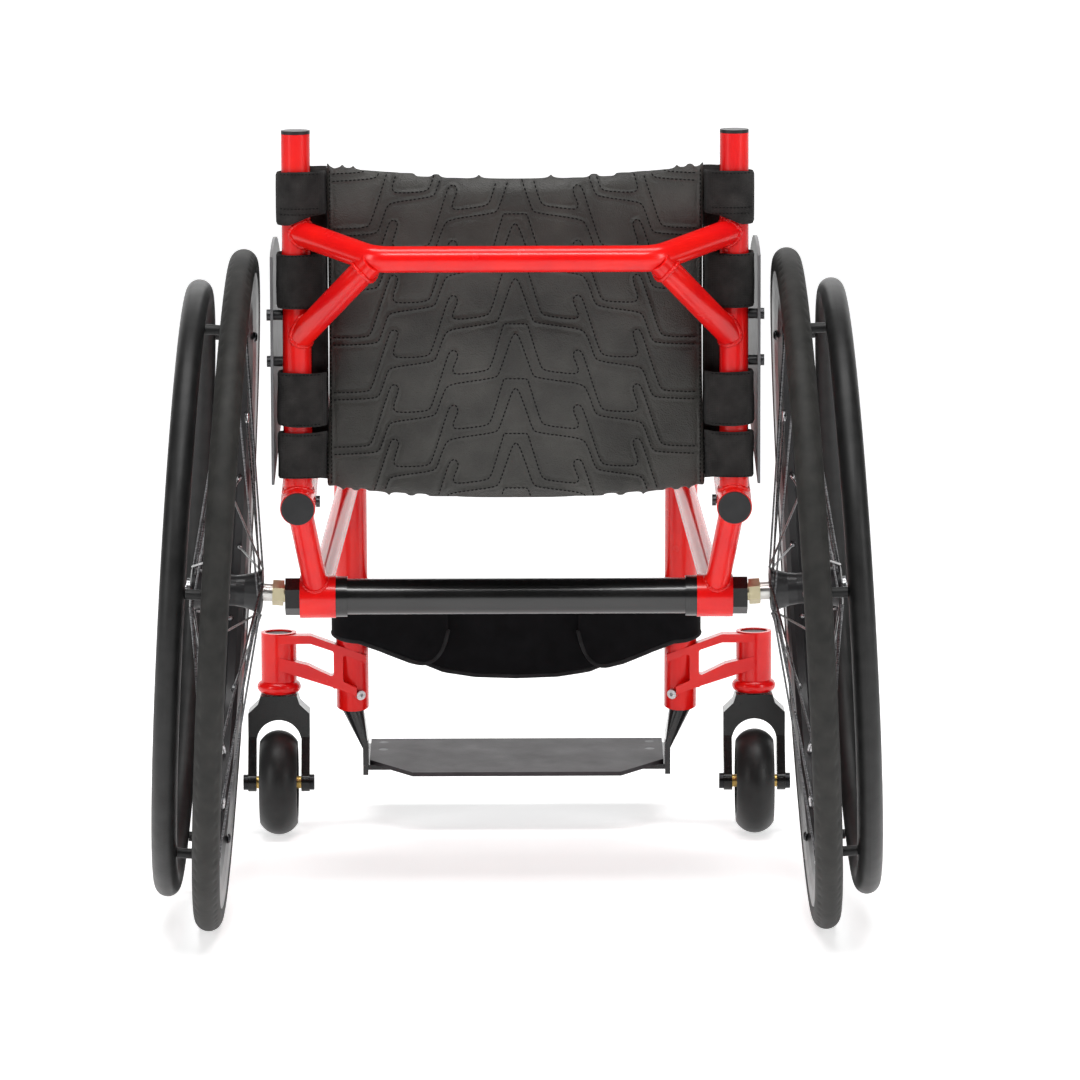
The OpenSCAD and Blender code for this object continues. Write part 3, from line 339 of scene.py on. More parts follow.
TYRE = rubber("tyre_tread_rubber", (0.010, 0.010, 0.009), (0.024, 0.023, 0.021), 0.66, 900)
CASTER_RUBBER = rubber("caster_rubber", (0.010, 0.010, 0.010), (0.020, 0.020, 0.020), 0.42, 700)
HANDRIM = rubber("handrim_coating", (0.008, 0.008, 0.008), (0.017, 0.017, 0.017), 0.46, 1500)
PLASTIC = rubber("moulded_plastic", (0.010, 0.010, 0.011), (0.018, 0.018, 0.019), 0.42, 1100)
FOOTPLATE = rubber("footplate_satin", (0.034, 0.029, 0.032), (0.052, 0.045, 0.049), 0.5, 1300)
GUARD = edged_board("guard_sheet", (0.010, 0.010, 0.011), (0.12, 0.12, 0.125))
print("materials so far:", len(bpy.data.materials))

# %% [markdown]
# ## Upholstery finishes
# Faux leather is a sheet of pebbles: cell texture at about one millimetre, with soft creases over it.
# Webbing and seat cloth are woven, so two sets of fine waves cross each other. Neoprene is a smooth
# knit with a soft bloom, and sewing thread is twisted and a little shiny.

# %% Leather and cloth finishes
def leather(name, dark, light):
    finish, tree, shader = new_finish(name, 0.42, shine=0.4)
    pebbles = tree.nodes.new("ShaderNodeTexVoronoi")
    pebbles.feature = "SMOOTH_F1"
    pebbles.inputs["Scale"].default_value = 820
    pebbles.inputs["Smoothness"].default_value = 0.35
    warp = tree.nodes.new("ShaderNodeTexNoise")
    warp.inputs["Scale"].default_value = 300
    tree.links.new(place_in_metres(tree), pebbles.inputs["Vector"])
    tree.links.new(place_in_metres(tree), warp.inputs["Vector"])
    tree.links.new(blend_colours(tree, cloud(tree, 28, 4), dark, light, 0.3, 0.7),
                   shader.inputs["Base Color"])
    vary_roughness(tree, shader, cloud(tree, 130, 4), 0.36, 0.52)
    add_height(tree, shader, total(tree, pebbles.outputs["Distance"], warp.outputs["Fac"]), 0.8, 0.00055)
    return finish


def woven(name, dark, light, threads_per_metre, rough=0.85, depth=0.0003):
    finish, tree, shader = new_finish(name, rough, sheen=0.04, shine=0.12)
    heights = []
    for direction in ("X", "Z"):
        wave = tree.nodes.new("ShaderNodeTexWave")
        wave.wave_type = "BANDS"
        wave.bands_direction = direction
        wave.inputs["Scale"].default_value = threads_per_metre / math.tau
        wave.inputs["Distortion"].default_value = 1.2
        wave.inputs["Detail Scale"].default_value = 6
        tree.links.new(place_in_metres(tree), wave.inputs["Vector"])
        heights.append(wave.outputs["Fac"])
    tree.links.new(blend_colours(tree, cloud(tree, 70, 6), dark, light, 0.3, 0.75),
                   shader.inputs["Base Color"])
    add_height(tree, shader, total(tree, *heights, cloud(tree, 420, 3)), 0.5, depth)
    return finish


BACK_LEATHER = leather("quilted_leather", (0.022, 0.021, 0.019), (0.042, 0.040, 0.036))
STRAP_CLOTH = woven("strap_cloth", (0.014, 0.013, 0.013), (0.032, 0.030, 0.029), 1300)
SEAT_CLOTH = woven("seat_cloth", (0.012, 0.012, 0.013), (0.027, 0.027, 0.028), 900)
NEOPRENE = woven("calf_neoprene", (0.002, 0.002, 0.0025), (0.005, 0.005, 0.006), 2200, 0.9, 0.00012)
THREAD = woven("sewing_thread", (0.002, 0.002, 0.002), (0.005, 0.005, 0.005), 2600, 0.8)
EDGE_TAPE = woven("edge_tape", (0.014, 0.014, 0.015), (0.032, 0.032, 0.033), 1500, 0.8)
print("materials:", sorted(m.name for m in bpy.data.materials))

# %% [markdown]
# ## Finish the solids
# A table from finish to solids is easier to read and to change than sixty separate lines.

# %% Give every solid its finish
def both(*names):
    return [f"{name}_{side}" for name in names for side in ("left", "right")]


FINISHES = [
    (RED, both("side_frame", "back_cane", "rear_strut", "caster_arm")
     + ["back_brace", "brace_stays", "lower_struts", "axle_sleeves", "caster_housings"]),
    (SATIN_BLACK, ["camber_tube", "camber_collars"]),
    (GLOSS_BLACK, ["camber_plugs"] + both("caster_fork")),
    (CRINKLE_BLACK, both("extension_tube")),
    (WHEEL_BLACK, both("rim", "hub")),
    (STEEL, ["stem_bearings", "extension_clamp_bolts"]
     + both("quick_release_axle", "release_button", "hub_bearings", "caster_bearings")),
    (BLACK_STEEL, ["guard_bolts", "cane_bolts", "footplate_screws"]),
    (SPOKE_STEEL, both("spokes")),
    (RECEIVER, ["axle_receivers"]),
    (CASTER_BOLT, both("caster_axle")),
    (CASTER_RUBBER, both("caster_tyre")),
    (HANDRIM, both("handrim")),
    (PLASTIC, ["housing_caps", "guard_spacers", "tube_caps"] + both("caster_core")),
    (FOOTPLATE, ["footplate"]),
    (GUARD, both("side_guard")),
]
for finish, names in FINISHES:
    for name in names:
        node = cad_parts[name]
        node.data.materials.clear()
        node.data.materials.append(finish)
print("finished solids:", sum(len(names) for _, names in FINISHES))

# %% [markdown]
# ## Building tools
# Two helpers cover most built pieces: one turns lists of points and faces into an object that
# rides on a body, and one sweeps a round section along a line of points, for beads and piping.

# %% Mesh helpers
def make_piece(name, points, faces, finish, body, smooth=True):
    mesh = bpy.data.meshes.new(name)
    mesh.from_pydata([tuple(map(float, p)) for p in points], [], faces)
    bm = bmesh.new()
    bm.from_mesh(mesh)
    bmesh.ops.recalc_face_normals(bm, faces=bm.faces)
    bm.to_mesh(mesh)
    bm.free()
    mesh.polygons.foreach_set("use_smooth", [smooth] * len(mesh.polygons))
    mesh.materials.append(finish)
    piece = bpy.data.objects.new(name, mesh)
    bpy.context.collection.objects.link(piece)
    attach(piece, body)
    return piece


def loops_to_faces(rings, sides, closed):
    faces = []
    last = rings if closed else rings - 1
    for i in range(last):
        j = (i + 1) % rings
        for k in range(sides):
            m = (k + 1) % sides
            faces.append((i * sides + k, i * sides + m, j * sides + m, j * sides + k))
    if not closed:
        faces.append(tuple(range(sides))[::-1])
        faces.append(tuple((rings - 1) * sides + k for k in range(sides)))
    return faces


def swept(line, radii, closed, sides=10):
    """Rings of points round a line; radii holds one radius for each point of the line."""
    line = [Vector(p) for p in line]
    n = len(line)
    points = []
    side = None
    for i, p in enumerate(line):
        before = line[(i - 1) % n] if closed or i > 0 else p
        after = line[(i + 1) % n] if closed or i < n - 1 else p
        along = (after - before).normalized()
        if side is None:
            side = along.orthogonal().normalized()
        side = (side - along * side.dot(along)).normalized()
        other = along.cross(side)
        for k in range(sides):
            a = math.tau * k / sides
            points.append(p + radii[i] * (math.cos(a) * side + math.sin(a) * other))
    return points, loops_to_faces(n, sides, closed)


def join_parts(parts):
    points, faces = [], []
    for new_points, new_faces in parts:
        base = len(points)
        points += [tuple(p) for p in new_points]
        faces += [tuple(base + i for i in face) for face in new_faces]
    return points, faces


# %% [markdown]
# ## Weld beads
# A welded tube frame looks wrong without its beads. Where a branch tube meets a main tube, each line
# along the branch's skin meets the main tube's skin at one point, found with a quadratic. Sweeping a
# small rippled section through those points gives the bead.

# %% Weld beads on the tube joints
BEAD_R = 1.9 * MM


def saddle(branch_from, branch_to, r, main_point, main_along, main_r, count=72):
    along = (branch_to - branch_from).normalized()
    main_along = main_along.normalized()
    u = along.orthogonal().normalized()
    v = along.cross(u)
    line = []
    for k in range(count):
        a = math.tau * k / count
        start = branch_from + r * (math.cos(a) * u + math.sin(a) * v)
        gap = start - main_point
        flat_gap = gap - main_along * gap.dot(main_along)
        flat_along = along - main_along * along.dot(main_along)
        qa, qb = flat_along.length_squared, 2 * flat_gap.dot(flat_along)
        qc = flat_gap.length_squared - main_r ** 2
        root = qb * qb - 4 * qa * qc
        t = (-qb - math.sqrt(max(root, 0))) / (2 * qa)
        line.append(start + along * t)
    return line


def bead(line, closed=True):
    radii = [BEAD_R * (1 + 0.16 * math.sin(i * 2.1) + 0.12 * noise.noise(Vector((i * 0.7, 3, 1))))
             for i in range(len(line))]
    return swept(line, radii, closed, 10)


RAIL_RISE = math.radians(9)
RAIL_ALONG = Vector((0, math.cos(RAIL_RISE), math.sin(RAIL_RISE)))
RAIL_R = 15.5 * MM


def rail_point(y):
    return Vector((CANE_X, y, 0.389 + (y - (CANE_Y - 0.022)) * math.tan(RAIL_RISE)))


def beads_of_one_side():
    cane_foot, cane_up = Vector((CANE_X, CANE_Y, 0)), Vector((0, 0, 1))
    corner = Vector((0.122, CANE_Y - 0.085, 0.616))
    sleeve = Vector((0.177, AXLE.y, AXLE.z))
    knee_tube = Vector((0.1575, AXLE.y + 0.460 - (0.345 - 0.1175) * math.tan(math.radians(12)), 0.345))
    knee_along = Vector((0, -math.sin(math.radians(12)), math.cos(math.radians(12))))
    parts = [
        bead(saddle(corner, Vector((CANE_X, CANE_Y, 0.6315)), 0.0115, cane_foot, cane_up, 0.0127)),
        bead(saddle(corner, Vector((CANE_X, CANE_Y, 0.536)), 0.0115, cane_foot, cane_up, 0.0127)),
        bead(saddle(Vector((CANE_X, CANE_Y, 0.6)), Vector((CANE_X, CANE_Y, 0.3)), 0.0127,
                    rail_point(CANE_Y), RAIL_ALONG, RAIL_R)),
        bead(saddle(sleeve, rail_point(CANE_Y - 0.003), 0.011, rail_point(CANE_Y), RAIL_ALONG, RAIL_R)),
        bead(saddle(rail_point(CANE_Y - 0.003), sleeve, 0.011, sleeve, Vector((1, 0, 0)), 0.0191)),
        bead(saddle(knee_tube, sleeve, 0.010, sleeve, Vector((1, 0, 0)), 0.0191)),
        bead(saddle(sleeve, knee_tube, 0.010, knee_tube, knee_along, RAIL_R)),
    ]
    stay_along = (Vector((CANE_X, CANE_Y, 0.536)) - corner).normalized()
    u = stay_along.orthogonal().normalized()
    v = stay_along.cross(u)
    ring = []
    for k in range(72):
        a = math.tau * k / 72
        ring.append(corner + stay_along * (0.0150 + 0.003 * math.cos(2 * a))
                    + 0.0117 * (math.cos(a) * u + math.sin(a) * v))
    parts.append(bead(ring))
    return parts


def mirrored(parts):
    return [([(-p[0], p[1], p[2]) for p in points], faces) for points, faces in parts]


side_beads = beads_of_one_side()
for side, parts in (("right", side_beads), ("left", mirrored(side_beads))):
    points, faces = join_parts(parts)
    make_piece(f"weld_beads_{side}", points, faces, WELD_RED, "frame")
print("weld beads a side:", len(side_beads))

# %% [markdown]
# ## The wheels' own frame
# A cambered wheel is awkward in the chair's axes, so its pieces are made in the wheel's axes, with z
# along the axle, and carried over by one matrix. The left wheel is the right one mirrored.

# %% Wheel placing
WHEEL_PLACE = Matrix.Translation((HUB_X, AXLE.y, HUB_Z)) @ Matrix.Rotation(math.pi / 2 - CAMBER, 4, "Y")


def on_wheel(points, side):
    placed = [WHEEL_PLACE @ Vector(p) for p in points]
    return placed if side == "right" else [Vector((-p.x, p.y, p.z)) for p in placed]


# %% [markdown]
# ## Tyres
# The tyre's section is turned round the axle with bmesh-style rings. It has a smooth crown, and a row
# of short notches on each shoulder, which are pressed in as real geometry so they catch the light.

# %% Tyres with notched shoulders
TYRE_R, TYRE_TUBE = 0.3045, 0.0122
NOTCH_STEPS, NOTCHES = 6, 120


def tyre_section():
    centre = TYRE_R - TYRE_TUBE
    base = [(centre - 0.0117, -0.0094), (centre - 0.0117, 0.0094)]
    half = math.radians(128)
    arc = []
    for k in range(41):
        a = half - 2 * half * k / 40
        arc.append((centre + TYRE_TUBE * math.cos(a), TYRE_TUBE * math.sin(a)))
    return base + arc, centre


def notched_tyre():
    section, centre = tyre_section()
    rings = NOTCH_STEPS * NOTCHES
    points = []
    for i in range(rings):
        a = math.tau * i / rings
        for r, s in section:
            lean = math.degrees(math.atan2(abs(s), r - centre))
            if i % NOTCH_STEPS in (0, 1) and 34 < lean < 58 and r > centre:
                depth = 0.0007 * (1 - abs(lean - 46) / 14)
                r -= depth * math.cos(math.radians(lean))
                s -= math.copysign(depth * math.sin(math.radians(lean)), s)
            points.append((r * math.cos(a), r * math.sin(a), s))
    return points, loops_to_faces(rings, len(section), True)


tyre_points, tyre_faces = notched_tyre()
for side in ("left", "right"):
    tyre = make_piece(f"tyre_tread_{side}", on_wheel(tyre_points, side), tyre_faces, TYRE,
                      f"wheel_{side}")
    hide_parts(f"tyre_{side}")
print("tyre rings:", NOTCH_STEPS * NOTCHES)

# %% [markdown]
# ## Rim bolts and spoke nipples
# Six bolts come through each rim to the handrim's tabs, and their round heads show on the inboard side.
# Each spoke ends in a small nipple, the bright speck that a wheel shows all round its rim.

# %% Rim bolt heads and nipples
SPOKES_PER_FLANGE = 12
RIM_IN_R = 0.257300


def turned(profile, centre, along, sides=14):
    """A small turned part: profile is (distance along, radius) from its base."""
    along = along.normalized()
    u = along.orthogonal().normalized()
    v = along.cross(u)
    points = []
    for far, r in profile:
        for k in range(sides):
            a = math.tau * k / sides
            points.append(centre + along * far + r * (math.cos(a) * u + math.sin(a) * v))
    return points, loops_to_faces(len(profile), sides, False)


def rim_bolts():
    head = [(0, 0.0044), (0.0014, 0.0044), (0.0026, 0.0034), (0.0031, 0.0016)]
    parts = []
    for k in range(6):
        a = math.radians(60 * k + 22)
        foot = Vector((0.2643 * math.cos(a), 0.2643 * math.sin(a), -0.0085))
        parts.append(turned(head, foot, Vector((0, 0, -1))))
    return join_parts(parts)


def nipples():
    body = [(0, 0.0012), (0.004, 0.0019), (0.011, 0.0021), (0.0125, 0.0026)]
    step = math.tau / SPOKES_PER_FLANGE
    parts = []
    for flange in (-1, 1):
        for k in range(SPOKES_PER_FLANGE):
            lean = 1 if k % 2 == 0 else -1
            at = k * step + (step / 2 if flange > 0 else 0)
            tip_a = at + lean * 2 * step
            tip = Vector((RIM_IN_R * math.cos(tip_a), RIM_IN_R * math.sin(tip_a),
                          flange * (0.0021 + 0.0009 * lean)))
            root = Vector((0.0211 * math.cos(at), 0.0211 * math.sin(at),
                           flange * (0.0300 + 0.0015 * lean)))
            along = (tip - root).normalized()
            parts.append(turned(body, tip - along * 0.012, along, 8))
    return join_parts(parts)


for side in ("left", "right"):
    for name, (points, faces), finish, slot in (
            ("rim_bolts", rim_bolts(), BLACK_STEEL, "black_steel"),
            ("spoke_nipples", nipples(), STEEL, "steel")):
        make_piece(f"{name}_{side}", on_wheel(points, side), faces, finish, f"wheel_{side}")
print("nipples a wheel:", 2 * SPOKES_PER_FLANGE)

# %% [markdown]
# ## The back panel, first as a soft pad
# The back is a padded sheet that hangs in a shallow arc between the canes. It could be one displaced
# grid, but a pad that has really been blown up sits better at its edges. So a thin closed shell is
# remeshed evenly and inflated by the cloth solver for twenty frames, with its movement capped.

# %% Back panel shell and inflation
PANEL_HALF, PANEL_TOP, PANEL_LOW = 0.173, 0.6955, 0.3920
PANEL_BOW, PANEL_T = 0.035, 0.011


def panel_top(x):
    return PANEL_TOP - 0.0072 * max(0, 1 - (x / PANEL_HALF) ** 2) ** 1.5


def panel_low(x):
    return PANEL_LOW + 0.009 * abs(x / PANEL_HALF) ** 2.2


def panel_middle_y(x):
    return CANE_Y + 0.0055 - PANEL_BOW * (1 - (x / PANEL_HALF) ** 2)


def panel_shell(columns=70, rows=60):
    points, faces = [], []
    for face in (-1, 1):
        for j in range(rows + 1):
            v = j / rows
            for i in range(columns + 1):
                u = 2 * i / columns - 1
                x = u * PANEL_HALF
                edge = min(1, (1 - abs(u) ** 10)) ** 0.5 * (1 - abs(2 * v - 1) ** 14) ** 0.5
                z = panel_low(x) + v * (panel_top(x) - panel_low(x))
                points.append((x, panel_middle_y(x) + face * edge * PANEL_T / 2, z))
    stride = columns + 1
    sheet = (rows + 1) * stride
    for j in range(rows):
        for i in range(columns):
            a = j * stride + i
            faces.append((a, a + 1, a + stride + 1, a + stride))
            faces.append((sheet + a, sheet + a + stride, sheet + a + stride + 1, sheet + a + 1))
    return points, faces


def blown_up(piece, voxel, pressure, cap):
    """Remeshes the piece evenly, inflates it with the cloth solver and caps how far a point moves."""
    remesh = piece.modifiers.new("even", "REMESH")
    remesh.mode, remesh.voxel_size, remesh.use_smooth_shade = "VOXEL", voxel, True
    relax = piece.modifiers.new("relax", "SMOOTH")
    relax.factor, relax.iterations = 0.5, 5
    apply_all(piece)
    before = np.array([v.co for v in piece.data.vertices])
    cloth = piece.modifiers.new("cloth", "CLOTH")
    cloth.settings.use_pressure = True
    cloth.settings.uniform_pressure_force = pressure
    cloth.settings.effector_weights.gravity = 0
    cloth.settings.tension_stiffness = cloth.settings.compression_stiffness = 25
    scene = bpy.context.scene
    cloth.point_cache.frame_start, cloth.point_cache.frame_end = 1, 20
    for number in range(1, 21):
        scene.frame_set(number)
    apply_all(piece)
    scene.frame_set(1)
    after = np.array([v.co for v in piece.data.vertices])
    move = after - before
    far = np.linalg.norm(move, axis=1, keepdims=True)
    piece.data.vertices.foreach_set("co", (before + move * np.minimum(1, cap / np.maximum(far, 1e-9)))
                                    .astype(np.float32).ravel())
    print(piece.name, "moved at most", round(float(far.max()), 4), "capped at", cap)
    return piece


def apply_all(piece):
    graph = bpy.context.evaluated_depsgraph_get()
    mesh = bpy.data.meshes.new_from_object(piece.evaluated_get(graph))
    piece.modifiers.clear()
    old = piece.data
    piece.data = mesh
    bpy.data.meshes.remove(old)


def face_outward(piece):
    bm = bmesh.new()
    bm.from_mesh(piece.data)
    bmesh.ops.recalc_face_normals(bm, faces=bm.faces)
    if bm.calc_volume(signed=True) < 0:
        bmesh.ops.reverse_faces(bm, faces=bm.faces)
    bm.to_mesh(piece.data)
    bm.free()


def subdivide(piece, levels):
    smooth = piece.modifiers.new("smooth", "SUBSURF")
    smooth.levels = smooth.render_levels = levels
    apply_all(piece)


def shell_piece(name, points, faces, finish):
    mesh = bpy.data.meshes.new(name)
    mesh.from_pydata(points, [], faces)
    bm = bmesh.new()
    bm.from_mesh(mesh)
    bmesh.ops.remove_doubles(bm, verts=bm.verts, dist=1e-6)
    bmesh.ops.recalc_face_normals(bm, faces=bm.faces)
    bm.to_mesh(mesh)
    bm.free()
    mesh.materials.append(finish)
    piece = bpy.data.objects.new(name, mesh)
    bpy.context.collection.objects.link(piece)
    return piece


panel = shell_piece("quilted_back", *panel_shell(), BACK_LEATHER)
blown_up(panel, 0.0045, 4.0, 0.004)
face_outward(panel)
subdivide(panel, 2)
print("back panel points:", len(panel.data.vertices))

# %% [markdown]
# ## The quilting
# Two stitched lines run side by side as a channel: over a peak in the middle, down a leg, out along a
# base, and on in two more steps towards the edge. The same figure repeats down the panel, mirrored left
# and right. Each point of the pad sinks if it is near a line and stands proud between the lines.

# %% Stitch lines of the quilting
FIGURE_PITCH = 48.2
FIRST_PEAK = 554.2
OUTER_LINE = [(10.3, 0), (21.5, -37), (25, -41.3), (53.4, -45.1), (55.6, -41.3), (50, -28.4),
              (51.7, -23.8), (56, -23.2), (59.4, -28.4), (73.2, -72.3), (77, -77.5), (105, -79.5),
              (107.6, -75), (102, -58), (104.5, -54.5), (108.5, -55), (111, -60), (125.7, -105),
              (129, -110), (160, -112.5)]
INNER_LINE = [(0, -8.2), (3.2, -11), (14.5, -44), (17.2, -47.3), (58.5, -53.4), (62.9, -60.3),
              (68.9, -77.5), (71.5, -81.8), (108.5, -87.8), (112, -91.3), (118.8, -112),
              (122.3, -115.4), (160, -119)]


def rounded(line, passes=2):
    """Cuts the corners of a line of points, which rounds it without moving its straight runs."""
    for _ in range(passes):
        cut = [line[0]]
        for (ax, az), (bx, bz) in zip(line, line[1:]):
            cut += [(0.8 * ax + 0.2 * bx, 0.8 * az + 0.2 * bz), (0.2 * ax + 0.8 * bx, 0.2 * az + 0.8 * bz)]
        line = cut + [line[-1]]
    return line


def spaced(line, step):
    line = np.array(line, float)
    lengths = np.concatenate([[0], np.cumsum(np.linalg.norm(np.diff(line, axis=0), axis=1))])
    at = np.arange(0, lengths[-1], step)
    return np.stack([np.interp(at, lengths, line[:, k]) for k in range(line.shape[1])], 1)


def quilt_lines():
    lines = []
    for row in range(-3, 7):
        drop = FIRST_PEAK + row * FIGURE_PITCH
        for figure in (OUTER_LINE, INNER_LINE):
            half = [(x, z + drop) for x, z in rounded(figure)]
            lines.append([(-x, z) for x, z in reversed(half)] + half)
    for x in (162.0, 165.2):
        for sign in (-1, 1):
            lines.append([(sign * x, z) for z in (PANEL_LOW / MM - 5, PANEL_TOP / MM + 5)])
    return lines


def inside_panel(point, margin=4.0):
    x, z = point[0] * MM, point[1] * MM
    return panel_low(x) + margin * MM < z < panel_top(x) - margin * MM


LINES = quilt_lines()
samples = np.concatenate([spaced(line, 0.7) for line in LINES])
samples = np.array([p for p in samples if inside_panel(p, 2.0)]) * MM
print("quilting lines:", len(LINES), "samples:", len(samples))

# %% [markdown]
# A tree of the line samples answers "how far is the nearest stitch" for a hundred thousand points in a
# moment. Only the two big faces of the pad are quilted, and the hem outside the side seams stays flat.

# %% Press the quilting into the pad
def quilt(piece, rear_height=0.0015, front_height=0.0010, spread=0.0036):
    tree = KDTree(len(samples))
    for k, (x, z) in enumerate(samples):
        tree.insert((x, z, 0), k)
    tree.balance()
    count = len(piece.data.vertices)
    co = np.empty(count * 3, np.float32)
    piece.data.vertices.foreach_get("co", co)
    co = co.reshape(-1, 3)
    normals = np.array([v.normal for v in piece.data.vertices])
    for k in range(count):
        co[k][2] = min(panel_top(float(co[k][0])), max(panel_low(float(co[k][0])), float(co[k][2])))
        facing = normals[k][1]
        if abs(facing) < 0.5:
            continue
        x, y, z = map(float, co[k])
        gap = tree.find((x, z, 0))[2]
        height = rear_height if facing < 0 else front_height
        puff = height * (1 - math.exp(-(gap / spread) ** 2)) - 0.5 * height
        hem = min(1, max(0, (0.1655 - abs(x)) / 0.004))
        hem *= min(1, max(0.15, (panel_top(x) - z) / 0.009)) * min(1, max(0.15, (z - panel_low(x)) / 0.009))
        crease = 0.0005 * noise.noise(Vector((x * 38, z * 30, 2.0)))
        groove = -0.0005 * math.exp(-(gap / 0.0010) ** 2)
        lift = (puff + groove) * hem - 0.0006 * (1 - hem) + crease
        co[k][1] += math.copysign(lift * min(1, (abs(facing) - 0.5) / 0.3), facing)
    piece.data.vertices.foreach_set("co", co.ravel())
    piece.data.update()


quilt(panel)
panel.data.polygons.foreach_set("use_smooth", [True] * len(panel.data.polygons))
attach(panel, "frame")
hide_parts("back_panel")
print("quilted panel from", [round(v, 3) for v in panel.bound_box[0]])

# %% [markdown]
# ## The stitches themselves
# Thread seen from two metres is a row of short dashes, each sunk at its ends. Every stitch is a tiny
# seed-shaped body laid on the pad: a ray from behind finds the surface, so the stitches follow it.

# %% Lay the stitches on the pad
def seed(start, end, out, r):
    """One stitch from start to end, raised in the middle along out."""
    along = (end - start).normalized()
    side = along.cross(out).normalized()
    points = []
    for share, thick in ((0.0, 0.35), (0.25, 0.9), (0.5, 1.0), (0.75, 0.9), (1.0, 0.35)):
        centre = start.lerp(end, share) + out * r * (0.9 * math.sin(math.pi * share) - 0.25)
        for k in range(6):
            a = math.tau * k / 6
            points.append(centre + r * thick * (math.cos(a) * side + math.sin(a) * out))
    return points, loops_to_faces(5, 6, False)


def surface_finder(piece):
    tree = BVHTree.FromPolygons([v.co for v in piece.data.vertices],
                                [tuple(p.vertices) for p in piece.data.polygons])

    def find(x, z, from_y, way):
        hit, normal, _, _ = tree.ray_cast(Vector((x, from_y, z)), Vector((0, way, 0)))
        return hit, normal
    return find


def sew(name, lines, find, finish, body, pitch=3.7, length=2.5, r=0.00062, way=1, keep=None):
    parts = []
    for line in lines:
        marks = spaced(line, pitch / 4)
        for k in range(0, len(marks) - 4, 4):
            ends = []
            for x, z in (marks[k], marks[min(k + 3, len(marks) - 1)]):
                if keep and not keep((x, z)):
                    break
                hit, normal = find(x * MM, z * MM, -1.0 * way, way)
                if hit is None:
                    break
                ends.append((hit, normal))
            if len(ends) < 2 or (ends[0][0] - ends[1][0]).length > 2 * length * MM:
                continue
            out = (ends[0][1] + ends[1][1]).normalized()
            parts.append(seed(ends[0][0], ends[1][0], out, r))
    points, faces = join_parts(parts)
    piece = make_piece(name, points, faces, finish, body)
    print(name, len(parts), "stitches")
    return piece


find_panel = surface_finder(panel)
sew("back_stitches", LINES, find_panel, THREAD, "frame", keep=inside_panel)

# %% [markdown]
# ## Straps round the canes
# Each strap leaves the panel's edge, goes round the cane and comes back, so its plan is a belt round
# one post. A belt is a line of points offset by half its thickness each way. The top and bottom edges
# are folded hems, a little thicker, with a row of stitches.

# %% Back straps
STRAP_BANDS = [(0.6445, 0.6865), (0.5635, 0.6147), (0.4590, 0.5097), (0.4125, 0.4564)]
LOOP_R, STRAP_HALF_T = 0.0166, 0.0014
# The top strap hangs lower on its outer side: how far, from where, and over what width.
TOP_STRAP_DROOP, DROOP_START, DROOP_RUN = 0.0075, -0.016, 0.022
# A narrow strip of the same cloth lines the gap between the panel's side seam and the straps.
LINING_LOW, LINING_HIGH = 0.4125, 0.6885
LINING_START, LINING_WIDTH, LINING_Y, LINING_WAVE = -0.0270, 0.0150, 0.0085, 0.0012
LINING_STEPS, LINING_HALF_T, LINING_WOBBLE, LINING_SEED = 8, 0.0012, 0.0009, 40


def belt_plan():
    """Middle line of the strap in plan, relative to the cane, from the rear of the panel to its front."""
    line = [(-0.0255, 0.0010), (-0.0215, -0.0055), (-0.0190, -0.0100), (-0.0145, -0.0128),
            (-0.0100, -0.0148)]
    for k in range(31):
        a = math.radians(-112 + 224 * k / 30)
        line.append((LOOP_R * math.cos(a), LOOP_R * math.sin(a)))
    line += [(-0.0100, 0.0146), (-0.0145, 0.0128), (-0.0190, 0.0110), (-0.0240, 0.0100)]
    return line


def band(plan, heights, thickness, wobble, seed_number):
    """A closed band: plan is its middle line, heights the low and high edge at each point."""
    rows = 18
    n = len(plan)
    outer, inner = [], []
    for i, (x, y) in enumerate(plan):
        ax, ay = plan[max(i - 1, 0)]
        bx, by = plan[min(i + 1, n - 1)]
        length = math.hypot(bx - ax, by - ay)
        nx, ny = (by - ay) / length, -(bx - ax) / length
        low, high = heights[i]
        for j in range(rows + 1):
            v = j / rows
            hem = 1.0 if v < 0.10 or v > 0.90 else 0.78
            edge = min(1, 12 * min(v, 1 - v)) ** 0.5
            half = max(0.12, hem * edge) * thickness
            wave = wobble * noise.noise(Vector((i * 0.12, v * 2.2, seed_number * 3.7)))
            z = low + v * (high - low)
            outer.append((x + nx * (half + wave), y + ny * (half + wave), z))
            inner.append((x - nx * (half - wave), y - ny * (half - wave), z))
    stride = rows + 1
    points = outer + inner
    base = len(outer)
    faces = []
    for i in range(n - 1):
        for j in range(rows):
            a, b = i * stride + j, (i + 1) * stride + j
            faces.append((a, b, b + 1, a + 1))
            faces.append((base + a, base + a + 1, base + b + 1, base + b))
        a, b = i * stride, (i + 1) * stride
        faces.append((a, base + a, base + b, b))
        faces.append((a + rows, b + rows, base + b + rows, base + a + rows))
    for a in (0, (n - 1) * stride):
        for j in range(rows):
            faces.append((a + j, a + j + 1, base + a + j + 1, base + a + j))
    return points, faces


